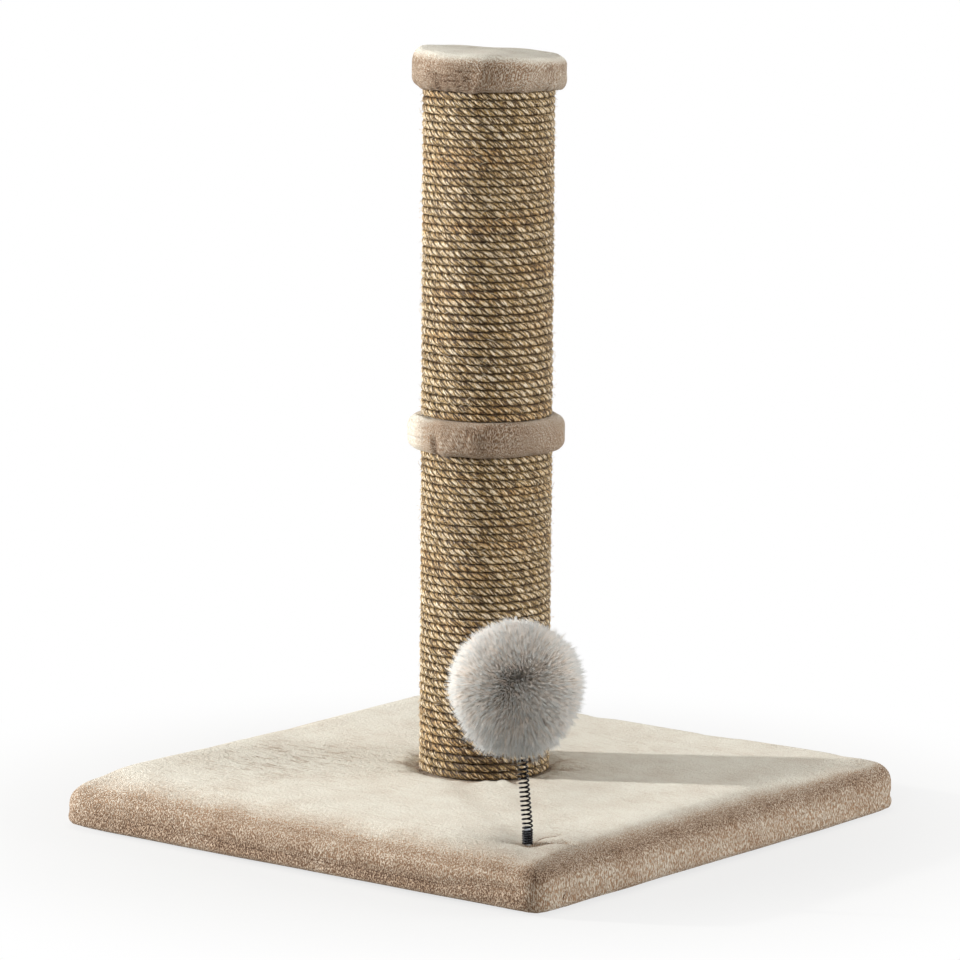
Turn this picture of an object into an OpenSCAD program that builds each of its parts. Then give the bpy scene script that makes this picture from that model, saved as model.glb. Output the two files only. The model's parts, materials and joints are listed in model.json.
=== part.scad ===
// Cat scratching post. A square base covered in plush carries two cardboard tubes wound with
// sisal rope, a plush-covered disc between them and a plush-covered cap on top. A pompom
// stands on a coil spring in one corner of the base.
// Millimetres, +Z up. The origin is the centre of the face that stands on the floor.

/* [Base] */
// Side of the square base, over its plush cover
base_w = 400; // [320:10:600]
// Radius of the base's corners seen from above
base_corner_r = 22; // [18:1:40]
// Rounding of the base's upper edge
base_edge_r = 13; // [8:1:16]
// Rounding of the base's lower edge
base_foot_r = 5; // [3:0.5:7]
// Thickness of the particle board in the base
board_t = 16; // [12:1:25]
// Thickness of the foam pad over the board
foam_t = 12.5; // [10:0.5:30]
// Thickness of the felt that closes the underside
backing_t = 1; // [1:0.1:2]
// How far the felt stays inside the base's edge
backing_inset = 12; // [8:1:20]
// Width of the plush that is turned under the board
margin_w = 40; // [34:1:60]

/* [Plush] */
// Thickness of the plush with its pile
plush_t = 3.25; // [2.5:0.25:5]
// Rounding of the plush at the rims of the two discs
rim_r = 8; // [5:0.5:9]
// How wide the plush laps onto a disc's hidden faces, measured from the disc's rim
lap_w = 20; // [17:1:30]

/* [Post] */
// Outer diameter of the cardboard tubes
tube_od = 75; // [60:1:100]
// Wall of the cardboard tubes
tube_wall = 4; // [3:0.5:6]
// Length of each tube, which is one rope-wound section of the post
tube_len = 214; // [150:1:400]
// How deep the post's foot presses into the plush of the base
post_sink = 1.5; // [0:0.25:2]
// Height of the wooden plug in each end of a tube
plug_h = 25; // [20:1:40]
// Play round a plug in its tube
plug_gap = 0.1; // [0.05:0.05:0.3]
// Thickness of the wooden discs
disc_t = 16; // [12:1:25]
// Diameter of the wooden disc between the two sections
mid_disc_d = 97; // [94:1:120]
// Diameter of the wooden disc in the cap
cap_disc_d = 95; // [94:1:120]

/* [Rope] */
// Diameter of the sisal rope, which is how far it stands out from the tube
rope_d = 5.4; // [5:0.1:8]
// Distance from one turn of the rope to the next
rope_pitch = 5.2; // [5:0.1:8]
// Air left between two of the turns that are drawn one by one
turn_gap = 0.5; // [0.45:0.05:0.8]
// Turns drawn one by one near the top of each section; a plain sleeve stands for the others
shown_turns = 11; // [4:1:12]
// Height of the plain collar over the drawn turns
collar_h = 2; // [1:0.5:5]

/* [Toy] */
// Distance of the toy's foot from the two nearest sides of the base
toy_inset = 42; // [30:1:60]
// How far the spring's foot presses into the plush
toy_sink = 1.5; // [0:0.25:2]
// How far the toy leans over at rest, in degrees
toy_lean = 5; // [0:0.5:8]
// Heading of that lean, in degrees from +X towards +Y
lean_heading = 218; // [0:1:359]
// Outer diameter of the spring
spring_od = 7; // [6.6:0.1:12]
// Diameter of the spring's wire
wire_d = 1.15; // [0.8:0.05:1.2]
// Distance between the tight turns that grip the screw
grip_pitch = 1.65; // [1.65:0.05:2.2]
// Number of tight turns
grip_turns = 5; // [3:1:8]
// Distance between the open turns
open_pitch = 2.85; // [2.2:0.05:4]
// Number of open turns
open_turns = 29; // [20:1:34]
// Outer radius of the pompom's fur
fur_r = 43; // [34:0.5:60]
// Radius of the stuffed skin that the fur grows from
core_r = 20; // [18:0.5:28]
// Diameter of the wooden peg inside the pompom
peg_d = 16; // [14:0.5:20]
// Length of that peg
peg_h = 26; // [22:1:30]
// Depth of the peg's socket for the spring
socket_h = 9; // [6:0.5:14]

/* [Fasteners] */
// Diameter of the bolt and of the two studs in the post
bolt_d = 8; // [6:1:10]
// Length of the bolt under its head
bolt_len = 50; // [46:1:60]
// Length of the stud through the disc between the sections
stud_len = 70; // [56:1:80]
// Length of the stud in the cap
cap_stud_len = 40; // [36:1:44]
// Length of a tee nut's barrel
nut_h = 10; // [8:1:14]
// Diameter of a tee nut's flange
nut_flange_d = 22; // [18:1:28]
// Length of the brads that hold the plugs in the tubes
brad_len = 18; // [10:1:20]
// Diameter of the screw that carries the toy
toy_screw_d = 4; // [3:0.1:4]
// Staples along each side that hold the plush under the board
cover_staples_a_side = 5; // [3:1:9]
// Staples along each side that hold the felt
backing_staples_a_side = 4; // [2:1:8]

/* [Hidden] */
$fn = 96;

// Colours
plush_colour = "#cdb8a4";
rope_colour = "#b29a6c";
board_colour = "#c9a878";
card_colour = "#b5926a";
foam_colour = "#efe6c8";
felt_colour = "#3c3a38";
zinc_colour = "#b9bcc0";
spring_colour = "#2b2b2d";
fur_colour = "#c3c1c0";
stuffing_colour = "#f2f0ec";

// Overshoot of a cut past the face that it goes through
cut = 1;
// Overlap that fuses a turn's end into the plain rope that it meets
fuse = 0.5;
// Play between a thread and its nut
thread_gap = 0.05;
// Play round a fastener that passes freely through wood, foam or plush
pass_gap = 0.25;
// Play between the spring and what it stands in or passes through
spring_gap = 0.2;
// Play round the spring in the pompom's fur and stuffing
fur_gap = 0.6;

// Heights in the base, from the floor up
z_margin = backing_t;
z_board = z_margin + plush_t;
z_foam = z_board + board_t;
z_plush = z_foam + foam_t;
z_top = z_plush + plush_t;

// Heights in the post
z_post = z_top - post_sink;
z_joint = z_post + tube_len;
disc_total = disc_t + 2 * plush_t;
z_upper = z_joint + disc_total;
z_cap = z_upper + tube_len;
z_cap_board = z_cap + plush_t;

// Widths
board_w = base_w - 2 * plush_t;
board_corner_r = base_corner_r - plush_t;
foam_edge_r = base_edge_r - plush_t;
tube_id = tube_od - 2 * tube_wall;
plug_d = tube_id - 2 * plug_gap;
post_r = tube_od / 2 + rope_d;
bolt_hole_d = bolt_d + 2 * pass_gap;

// The bolt's head and washer sit in a counterbore in the board's underside
head_h = 5.3;
head_flats = 13 / 8 * bolt_d;
washer_h = 1.6;
washer_d = 2.5 * bolt_d;
counterbore_play = 0.1;
counterbore_h = head_h + washer_h + counterbore_play;
z_washer = z_board + counterbore_h - washer_h;
z_head = z_washer - head_h;

// Tee nuts: the height of each flange's seat, and whether the barrel points down or up
flange_h = 1.5;
prongs = 4;
prong = [1.4, 3.5, 7];
z_cap_nut = z_cap_board + disc_t - flange_h;
NUT_DOWN = 0;
NUT_UP = 180;
nuts = [[z_post + plug_h, NUT_DOWN], [z_joint - plug_h, NUT_UP], [z_upper + plug_h, NUT_DOWN],
        [z_cap - plug_h, NUT_UP], [z_cap_nut, NUT_DOWN]];

// Brads: three round each plug, at half the plug's height, driven just below the tube's surface
brad_d = 1.6;
brad_depth = 0.2;
brads_a_plug = 3;
z_brads = [z_post + plug_h / 2, z_joint - plug_h / 2, z_upper + plug_h / 2, z_cap - plug_h / 2];

// Staples: crown width, wire width, wire thickness and leg length
crown_w = 10;
staple_w = 1.2;
staple_t = 0.6;
staple_leg = 8;
// The cover's staples lie well inside the turned plush, the felt's near the felt's edge
cover_staple_inset = margin_w - 8;
backing_staple_inset = backing_inset + 7;
// The felt's staples are driven just below its surface
staple_depth = 0.2;

// Rope: the drawn turns have the pitch less the gap as their diameter
turn_d = rope_pitch - turn_gap;
turn_r = post_r - turn_d / 2;
turn_bend = turn_d / 2 + 1.5 * turn_gap;
TURN_RINGS = 20;
// The turns start and end on the side away from the toy's corner
turn_heading = 128;
// A pocket in the plain rope takes each end of the drawn turns
pocket_h = turn_d / 2 + turn_bend - turn_gap;
pocket_w = turn_d + 2 * turn_gap;
turns_h = 2 * (turn_d + turn_bend) + shown_turns * rope_pitch;

// Toy: the spring stands on the plush, and its tight turns grip the screw
toy_x = base_w / 2 - toy_inset;
toy_y = -toy_x;
z_toy = z_top - toy_sink;
coil_r = (spring_od - wire_d) / 2;
wire_bend = wire_d;
CURL_RINGS = 8;
z_spring = z_toy + spring_gap;
z_lean = z_spring + wire_d + wire_bend + grip_turns * grip_pitch;
z_spring_top = z_lean + open_turns * open_pitch + wire_bend + wire_d;
z_socket = z_spring_top + spring_gap;
z_peg = z_socket - socket_h;
z_ball = z_peg + peg_h / 2;
// The spring bends into its lean over this height
lean_run = 6;
lean_axis = [-sin(lean_heading), cos(lean_heading), 0];
toy_head_d = 2 * toy_screw_d;
toy_head_h = 2.6;
toy_counterbore_h = toy_head_h + 0.4;

// Sides and bend steps of every wound tube
SIDES = 6;
BEND_STEPS = 2;

// Rounded plates and slabs

// Half outline of a round body: radius r, height h, rounded at its top and foot
module half_outline(r, h, r_top, r_foot) {
    intersection() {
        square([r, h]);
        union() {
            translate([0, r_foot]) square([r, h - r_top - r_foot]);
            translate([0, r_foot]) square([r - r_top, h - r_foot]);
            translate([r - r_top, h - r_top]) circle(r_top);
            if (r_foot > 0) {
                square([r - r_foot, r_foot + (h - r_top - r_foot) / 2]);
                translate([r - r_foot, r_foot]) circle(r_foot);
            }
        }
    }
}

// Whole outline of a slab seen from its end
module slab_outline(w, h, r_top, r_foot) {
    half_outline(w / 2, h, r_top, r_foot);
    mirror([1, 0]) half_outline(w / 2, h, r_top, r_foot);
}

// Round puck whose rim is rounded at the top and at the foot
module puck(r, h, r_top, r_foot) {
    rotate_extrude() half_outline(r, h, r_top, r_foot);
}

// Square slab with round corners and rounded upper and lower edges
module slab(w, h, corner_r, r_top, r_foot) {
    run = w - 2 * corner_r;
    rotate([90, 0, 0]) linear_extrude(run, center = true) slab_outline(w, h, r_top, r_foot);
    rotate([90, 0, 90]) linear_extrude(run, center = true) slab_outline(w, h, r_top, r_foot);
    for (x = [-1, 1], y = [-1, 1])
        translate([x * run / 2, y * run / 2, 0]) puck(corner_r, h, r_top, r_foot);
}

// Square plate with round corners and sharp edges
module plate(w, h, corner_r) {
    run = w - 2 * corner_r;
    linear_extrude(h) {
        square([w, run], center = true);
        square([run, w], center = true);
        for (x = [-1, 1], y = [-1, 1])
            translate([x * run / 2, y * run / 2]) circle(corner_r);
    }
}

// Fasteners

// Staple whose crown lies at z = 0 with its legs pointing up
module staple() {
    translate([-crown_w / 2, -staple_w / 2, 0]) cube([crown_w, staple_w, staple_t]);
    for (x = [-crown_w / 2, crown_w / 2 - staple_t])
        translate([x, -staple_w / 2, 0]) cube([staple_t, staple_w, staple_leg]);
}

// A row of staples along each of the four sides
module staple_rows(count, inset, z) {
    reach = base_w / 2 - inset;
    step = 2 * (reach - crown_w) / (count + 1);
    for (side = [0 : 3], i = [1 : count])
        rotate([0, 0, 90 * side])
            translate([-(reach - crown_w) + i * step, -reach, z])
                staple();
}

module at_cover_staples() {
    staple_rows(cover_staples_a_side, cover_staple_inset, z_margin);
}

module at_backing_staples() {
    staple_rows(backing_staples_a_side, backing_staple_inset, staple_depth);
}

// Tee nut with its flange on z = 0 and its barrel below; solid where a socket for it is cut
module tee_nut_body() {
    cylinder(d = nut_flange_d, h = flange_h);
    translate([0, 0, -nut_h]) cylinder(d = bolt_d + 2, h = nut_h + flange_h / 2);
    for (i = [0 : prongs - 1])
        rotate([0, 0, i * 360 / prongs])
            translate([nut_flange_d / 2 - prong[1], -prong[0] / 2, -prong[2]])
                cube([prong[0], prong[1] / 2, prong[2] + flange_h / 2]);
}

module tee_nut() {
    difference() {
        tee_nut_body();
        translate([0, 0, -nut_h - cut]) cylinder(d = bolt_d + 2 * thread_gap, h = nut_h + flange_h + 2 * cut);
    }
}

// Sockets for all the tee nuts
module tee_nut_sockets() {
    for (n = nuts)
        translate([0, 0, n[0]]) rotate([n[1], 0, 0]) tee_nut_body();
}

// Brads of one plug; with over above 0, their holes, which run out through the tube's surface
module brads(z, over = 0) {
    for (i = [0 : brads_a_plug - 1])
        rotate([0, 0, i * 360 / brads_a_plug])
            translate([tube_od / 2 - brad_depth - brad_len, 0, z])
                rotate([0, 90, 0])
                    cylinder(d = brad_d, h = brad_len + over);
}

// Hole on the post's axis from one height to another
module axis_hole(d, z_from, z_to) {
    translate([0, 0, z_from]) cylinder(d = d, h = z_to - z_from);
}

// Hole on the axis of the toy's screw
module toy_hole(d, z_from, z_to) {
    translate([toy_x, toy_y, z_from]) cylinder(d = d, h = z_to - z_from);
}

// Wound tubes

function unit(v) = v / norm(v);

// Path of a wound tube on a cylinder of radius r: a straight run up, a bend, turns at one pitch
// and then at another, a bend and a straight run up again. The path is laid out flat as
// [distance round, height] and then rolled up.
function wound_path(run, bend, r, rings, low_turns, low_pitch, high_turns, high_pitch) =
    let (
        step = 2 * PI * r / rings,
        low = low_turns * rings,
        all = (low_turns + high_turns) * rings,
        s_end = bend + all * step,
        z_end = run + bend + low_turns * low_pitch + high_turns * high_pitch,
        flat = concat(
            [[0, 0]],
            [for (k = [0 : BEND_STEPS])
                let (a = 90 * k / BEND_STEPS)
                    [bend * (1 - cos(a)), run + bend * sin(a)]],
            [for (i = [1 : all])
                [bend + i * step,
                 run + bend + (min(i, low) * low_pitch + max(i - low, 0) * high_pitch) / rings]],
            [for (k = [1 : BEND_STEPS])
                let (a = 90 * k / BEND_STEPS)
                    [s_end + bend * sin(a), z_end + bend * (1 - cos(a))]],
            [[s_end + bend, z_end + bend + run]]))
    [for (f = flat)
        let (a = f[0] / r * 180 / PI)
            [r * cos(a), r * sin(a), f[1]]];

// Corners of a tube of diameter d along a path on a cylinder round Z, one ring after another
function tube_points(path, d) =
    [for (i = [0 : len(path) - 1])
        let (
            before = i == 0 ? path[1] - path[0] : path[i] - path[i - 1],
            after = i == len(path) - 1 ? before : path[i + 1] - path[i],
            along = unit(unit(before) + unit(after)),
            out = unit([path[i][0], path[i][1], 0]),
            across = cross(along, out) / (along * unit(before)))
        for (k = [0 : SIDES - 1])
            let (a = 180 / SIDES + 360 * k / SIDES)
                path[i] + d / 2 * (cos(a) * out + sin(a) * across)];

// Triangles of that tube, with a fan over each end
function tube_faces(rings) =
    concat(
        [for (k = [1 : SIDES - 2]) [0, k, k + 1]],
        [for (i = [0 : rings - 2], k = [0 : SIDES - 1], half = [0, 1])
            let (
                a = i * SIDES + k,
                b = i * SIDES + (k + 1) % SIDES)
                half == 0 ? [a, a + SIDES, b] : [b, a + SIDES, b + SIDES]],
        [for (k = [1 : SIDES - 2])
            let (last = (rings - 1) * SIDES)
                [last, last + k + 1, last + k]]);

// Least air between two stretches of a tube that lie at least half a turn apart
function least_gap(path, d, rings) =
    min([for (i = [0 : len(path) - 1 - rings / 2])
        min([for (j = [i + rings / 2 : min(len(path) - 1, i + 2 * rings)])
            norm(path[i] - path[j])])]) - d;

// The toy's lean: a point above z_lean turns about the foot of the lean, in full after lean_run
function leaned(p) =
    let (
        a = toy_lean * max(0, min(1, (p[2] - z_lean) / lean_run)),
        q = p - [0, 0, z_lean])
    [0, 0, z_lean] + lean_axis * (lean_axis * q) * (1 - cos(a)) + q * cos(a) + cross(lean_axis, q) * sin(a);

rope_path = wound_path(turn_d + fuse, turn_bend, turn_r, TURN_RINGS, shown_turns, rope_pitch, 0, 0);
spring_path = [for (p = wound_path(wire_d, wire_bend, coil_r, CURL_RINGS,
                                   grip_turns, grip_pitch, open_turns, open_pitch))
    p + [0, 0, z_spring]];
leaned_path = [for (p = spring_path) leaned(p)];
echo(rope_least_gap = least_gap(rope_path, turn_d, TURN_RINGS));
echo(spring_least_gap = least_gap(leaned_path, wire_d, CURL_RINGS));

module wound_rope() {
    polyhedron(tube_points(rope_path, turn_d), tube_faces(len(rope_path)));
}

// Places things that are modelled upright over the toy's foot onto the leaning toy
module on_toy() {
    translate([toy_x, toy_y, z_lean])
        rotate(a = toy_lean, v = lean_axis)
            translate([0, 0, -z_lean])
                children();
}

// Base

module base_backing() {
    color(felt_colour) difference() {
        plate(base_w - 2 * backing_inset, backing_t, base_corner_r - backing_inset / 2);
        at_backing_staples();
        translate([0, 0, -staple_t]) at_backing_staples();
    }
}

module base_board() {
    color(board_colour) difference() {
        translate([0, 0, z_board]) plate(board_w, board_t, board_corner_r);
        axis_hole(bolt_hole_d, z_board, z_foam + cut);
        axis_hole(washer_d + 4 * pass_gap, z_board - cut, z_board + counterbore_h);
        toy_hole(toy_screw_d, z_board, z_foam + cut);
        toy_hole(toy_head_d + 2 * pass_gap, z_board - cut, z_board + toy_counterbore_h);
        at_cover_staples();
        at_backing_staples();
    }
}

module base_foam() {
    color(foam_colour) difference() {
        translate([0, 0, z_foam]) slab(board_w, foam_t, board_corner_r, foam_edge_r, 0);
        axis_hole(bolt_hole_d, z_foam - cut, z_plush + cut);
        toy_hole(toy_screw_d + 2 * pass_gap, z_foam - cut, z_plush + cut);
    }
}

// The plush is pulled over the foam and turned under the board
module base_cover() {
    dimple_run = 10;
    toy_dimple_run = 4;
    color(plush_colour) difference() {
        translate([0, 0, z_margin]) slab(base_w, z_top - z_margin, base_corner_r, base_edge_r, base_foot_r);
        translate([0, 0, z_board]) plate(board_w, board_t, board_corner_r);
        translate([0, 0, z_foam]) slab(board_w, foam_t, board_corner_r, foam_edge_r, 0);
        translate([0, 0, z_margin - cut])
            plate(base_w - 2 * margin_w, plush_t + 2 * cut, base_corner_r / 2);
        if (post_sink > 0)
            translate([0, 0, z_post]) cylinder(r1 = post_r, r2 = post_r + dimple_run, h = post_sink);
        if (toy_sink > 0)
            translate([toy_x, toy_y, z_toy])
                cylinder(r1 = spring_od / 2 + 1, r2 = spring_od / 2 + 1 + toy_dimple_run, h = toy_sink);
        axis_hole(bolt_hole_d, z_plush - cut, z_top + cut);
        toy_hole(toy_screw_d + 2 * pass_gap, z_plush - cut, z_top + cut);
        at_cover_staples();
        at_backing_staples();
    }
}

module cover_staples() {
    color(zinc_colour) at_cover_staples();
}

module backing_staples() {
    color(zinc_colour) at_backing_staples();
}

// Post

module post_bolt() {
    color(zinc_colour) {
        translate([0, 0, z_head]) cylinder(d = head_flats / cos(30), h = head_h, $fn = 6);
        translate([0, 0, z_washer - head_h / 2]) cylinder(d = bolt_d, h = bolt_len + head_h / 2);
    }
}

module bolt_washer() {
    color(zinc_colour) difference() {
        translate([0, 0, z_washer]) cylinder(d = washer_d, h = washer_h);
        axis_hole(bolt_hole_d, z_washer - cut, z_washer + washer_h + cut);
    }
}

module tee_nuts() {
    color(zinc_colour)
        for (n = nuts)
            translate([0, 0, n[0]]) rotate([n[1], 0, 0]) tee_nut();
}

module plug_brads() {
    color(zinc_colour)
        for (z = z_brads)
            brads(z);
}

module tube(z) {
    color(card_colour) difference() {
        translate([0, 0, z]) cylinder(d = tube_od, h = tube_len);
        axis_hole(tube_id, z - cut, z + tube_len + cut);
        for (z_brad = z_brads)
            brads(z_brad, cut);
    }
}

module plug(z) {
    color(board_colour) difference() {
        translate([0, 0, z]) cylinder(d = plug_d, h = plug_h);
        axis_hole(bolt_hole_d, z - cut, z + plug_h + cut);
        tee_nut_sockets();
        for (z_brad = z_brads)
            brads(z_brad, cut);
    }
}

// Plain rope from one height to another, with a pocket for a turn's end at its top or foot
module plain_rope(z_from, z_to, z_pocket, heading) {
    difference() {
        translate([0, 0, z_from]) cylinder(r = post_r, h = z_to - z_from);
        axis_hole(tube_od, z_from - cut, z_to + cut);
        rotate([0, 0, heading])
            translate([tube_od / 2 - cut, -pocket_w / 2, z_pocket])
                cube([rope_d + 2 * cut, pocket_w, pocket_h]);
    }
}

// One section's rope. The turns drawn one by one are one unbroken tube whose two ends are fused
// into the plain rope below and above them.
module rope_section(z) {
    z_ceiling = z + tube_len - collar_h;
    z_floor = z_ceiling - turns_h;
    end_heading = turn_heading + 2 * turn_bend / turn_r * 180 / PI;
    color(rope_colour) {
        plain_rope(z, z_floor + pocket_h, z_floor, turn_heading);
        plain_rope(z_ceiling - pocket_h, z + tube_len, z_ceiling - pocket_h, end_heading);
        translate([0, 0, z_floor - fuse]) rotate([0, 0, turn_heading]) wound_rope();
    }
}

// Round disc of board with a hole for the stud
module wooden_disc(d, z) {
    difference() {
        translate([0, 0, z]) cylinder(d = d, h = disc_t);
        axis_hole(bolt_hole_d, z - cut, z + disc_t + cut);
    }
}

// Plush round a disc: rounded at the rim and lapped onto the disc's faces
module disc_plush(d, z, closed_top) {
    translate([0, 0, z]) rotate_extrude() difference() {
        half_outline(d / 2 + plush_t, disc_total, rim_r, rim_r);
        translate([-cut, plush_t]) square([d / 2 + cut, disc_t]);
        translate([-cut, -cut])
            square([d / 2 - lap_w + cut, closed_top ? disc_total / 2 : disc_total + 2 * cut]);
    }
}

module lower_tube() { tube(z_post); }
module lower_foot_plug() { plug(z_post); }
module lower_top_plug() { plug(z_joint - plug_h); }
module rope_lower() { rope_section(z_post); }
module upper_tube() { tube(z_upper); }
module upper_foot_plug() { plug(z_upper); }
module upper_top_plug() { plug(z_cap - plug_h); }
module rope_upper() { rope_section(z_upper); }

module joint_stud() {
    color(zinc_colour)
        translate([0, 0, z_joint + (disc_total - stud_len) / 2])
            cylinder(d = bolt_d, h = stud_len);
}

module mid_disc() {
    color(board_colour) wooden_disc(mid_disc_d, z_joint + plush_t);
}

module mid_disc_cover() {
    color(plush_colour) disc_plush(mid_disc_d, z_joint, false);
}

module cap_stud() {
    color(zinc_colour) translate([0, 0, z_cap_nut - cap_stud_len]) cylinder(d = bolt_d, h = cap_stud_len);
}

module cap_disc() {
    color(board_colour) difference() {
        wooden_disc(cap_disc_d, z_cap_board);
        tee_nut_sockets();
    }
}

module cap_cover() {
    color(plush_colour) disc_plush(cap_disc_d, z_cap, true);
}

// Toy

module spring_screw() {
    z_head_top = z_board + toy_counterbore_h;
    color(zinc_colour) {
        toy_hole(toy_head_d, z_head_top - toy_head_h, z_head_top);
        toy_hole(toy_screw_d, z_head_top - toy_head_h / 2, z_lean);
    }
}

module toy_spring() {
    color(spring_colour) translate([toy_x, toy_y, 0])
        polyhedron([for (p = tube_points(spring_path, wire_d)) leaned(p)], tube_faces(len(spring_path)));
}

module pompom_peg() {
    color(board_colour) on_toy() difference() {
        translate([0, 0, z_peg]) cylinder(d = peg_d, h = peg_h);
        translate([0, 0, z_peg - cut]) cylinder(d = spring_od + 2 * spring_gap, h = socket_h + cut);
    }
}

module pompom_stuffing() {
    color(stuffing_colour) on_toy() difference() {
        translate([0, 0, z_ball]) sphere(r = core_r);
        translate([0, 0, z_peg]) cylinder(d = peg_d, h = peg_h);
        translate([0, 0, z_ball - core_r - cut]) cylinder(d = spring_od + 2 * fur_gap, h = core_r);
    }
}

module pompom_fur() {
    color(fur_colour) on_toy() difference() {
        translate([0, 0, z_ball]) sphere(r = fur_r);
        translate([0, 0, z_ball]) sphere(r = core_r);
        translate([0, 0, z_ball - fur_r - cut]) cylinder(d = spring_od + 2 * fur_gap, h = fur_r);
    }
}

base_backing();
base_board();
base_foam();
base_cover();
cover_staples();
backing_staples();
post_bolt();
bolt_washer();
tee_nuts();
plug_brads();
lower_tube();
lower_foot_plug();
lower_top_plug();
rope_lower();
joint_stud();
mid_disc();
mid_disc_cover();
upper_tube();
upper_foot_plug();
upper_top_plug();
rope_upper();
cap_stud();
cap_disc();
cap_cover();
spring_screw();
toy_spring();
pompom_peg();
pompom_stuffing();
pompom_fur();
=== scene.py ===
# %% [markdown]
# # A cat's scratching post, from solid frame to portrait
# The solid model already holds every board, tube, screw and cover in its place, in metres. It is
# loaded as a fixed frame. Boards, tubes and fasteners keep their solids and get a finish. Plush,
# rope, spring and fur are modelled anew, each in the space that its solid holds.

# %% Load the frame
import json
import math

import bmesh
import bpy
import numpy as np
from mathutils import Matrix, Vector
from mathutils.kdtree import KDTree


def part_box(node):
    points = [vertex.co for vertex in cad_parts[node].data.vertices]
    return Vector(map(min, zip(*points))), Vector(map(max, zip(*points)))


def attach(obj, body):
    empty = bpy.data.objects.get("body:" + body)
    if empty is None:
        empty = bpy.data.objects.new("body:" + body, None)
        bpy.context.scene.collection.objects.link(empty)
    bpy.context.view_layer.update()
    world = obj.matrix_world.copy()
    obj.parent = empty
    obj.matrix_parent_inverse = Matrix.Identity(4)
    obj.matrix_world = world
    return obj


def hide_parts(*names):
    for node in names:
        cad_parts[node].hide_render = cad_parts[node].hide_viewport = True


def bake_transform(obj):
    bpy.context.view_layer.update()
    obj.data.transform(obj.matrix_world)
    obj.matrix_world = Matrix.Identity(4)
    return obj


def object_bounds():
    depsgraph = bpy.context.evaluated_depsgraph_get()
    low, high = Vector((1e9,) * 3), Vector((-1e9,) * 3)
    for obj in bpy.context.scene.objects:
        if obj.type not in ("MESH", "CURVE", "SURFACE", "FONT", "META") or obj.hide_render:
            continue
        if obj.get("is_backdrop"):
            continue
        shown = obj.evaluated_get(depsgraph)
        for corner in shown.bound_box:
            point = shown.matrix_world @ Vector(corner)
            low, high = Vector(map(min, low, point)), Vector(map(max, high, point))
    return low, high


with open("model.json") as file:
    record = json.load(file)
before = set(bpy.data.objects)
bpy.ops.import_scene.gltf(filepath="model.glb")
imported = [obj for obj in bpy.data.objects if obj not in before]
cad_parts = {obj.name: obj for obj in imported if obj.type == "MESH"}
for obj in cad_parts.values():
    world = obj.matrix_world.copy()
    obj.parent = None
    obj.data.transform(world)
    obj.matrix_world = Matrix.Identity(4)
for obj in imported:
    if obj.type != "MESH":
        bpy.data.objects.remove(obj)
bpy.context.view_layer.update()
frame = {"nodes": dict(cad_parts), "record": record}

MM = 0.001

# %% [markdown]
# ## The camera
# The portrait is taken with a long lens from a little above the base. Its place and lens were
# fitted to the corners of the base and the two edges of the post. The axes are built one by one,
# so that the slight roll of the picture can be added to them.

# %% Set up the camera
azimuth, elevation, roll = map(math.radians, (38.13, 8.96, 0.39))
backward = Vector((math.sin(azimuth) * math.cos(elevation), -math.cos(azimuth) * math.cos(elevation),
                   math.sin(elevation)))
level_right = Vector((0, 0, 1)).cross(backward).normalized()
level_up = backward.cross(level_right)
right = level_right * math.cos(roll) + level_up * math.sin(roll)
up = level_up * math.cos(roll) - level_right * math.sin(roll)
aim = Vector((-0.00105, -0.00532, 0.22757))
bpy.ops.object.camera_add(location=aim + backward * 3.26047)
camera = bpy.context.object
camera.rotation_euler = Matrix((right, up, backward)).transposed().to_euler()
camera.data.lens = 186.27
camera.data.sensor_width = 36
camera.data.clip_end = 30
bpy.context.scene.camera = camera
bpy.context.scene.view_settings.view_transform = "Standard"
print("camera at", [round(c, 3) for c in camera.location])

# %% [markdown]
# ## Light and floor
# The post throws one crisp shadow over the base, so a small lamp stands low and far off on the
# left. It only grazes the base's top, and it makes the left side of rope and fur bright. A soft lamp
# low on the right, one in front and one overhead open the other sides. A lamp's power follows from
# its share: how much of a white card's full brightness it gives to a card that faces it. The shares
# are balanced so that colours come out about as they are written.

# %% Place the lamps
def softbox(name, heading, height, distance, size, share, tint):
    """Square lamp aimed at the post's middle; heading from +X and height in degrees"""
    at, rise = math.radians(heading), math.radians(height)
    away = Vector((math.cos(at) * math.cos(rise), math.sin(at) * math.cos(rise), math.sin(rise)))
    middle = Vector((0, 0, 0.2))
    bpy.ops.object.light_add(type="AREA", location=middle + away * distance)
    lamp = bpy.context.object
    lamp.name = name
    lamp.rotation_euler = away.to_track_quat("Z", "Y").to_euler()
    lamp.data.size = size
    lamp.data.energy = share * math.pi ** 2 * distance ** 2
    lamp.data.color = tint
    print(name, round(lamp.data.energy, 1), "W")


softbox("key_lamp", heading=212.5, height=11, distance=3.0, size=0.10, share=1.60, tint=(1.0, 0.985, 0.96))
softbox("right_lamp", heading=30, height=10, distance=2.5, size=1.2, share=0.74, tint=(1.0, 0.985, 0.965))
softbox("front_lamp", heading=298, height=26, distance=2.4, size=0.8, share=0.215, tint=(1.0, 0.99, 0.97))
softbox("top_lamp", heading=298, height=86, distance=2.2, size=1.2, share=0.28, tint=(1.0, 0.99, 0.97))

# %% [markdown]
# The room is a plain pale grey that only fills the shadows. Where the camera or a gloss looks at it,
# it is white. The floor is a matt light grey mixed with white. The white's share grows from the base
# on and is whole 46 cm from the post, so that the floor meets the white room without a line and
# still keeps a soft shadow by the base.

# %% Room and floor
def hex_colour(code):
    """Linear colour of an sRGB code such as #c0ffee"""
    parts = [int(code[i:i + 2], 16) / 255 for i in (1, 3, 5)]
    return [p / 12.92 if p <= 0.04045 else ((p + 0.055) / 1.055) ** 2.4 for p in parts] + [1.0]


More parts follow.
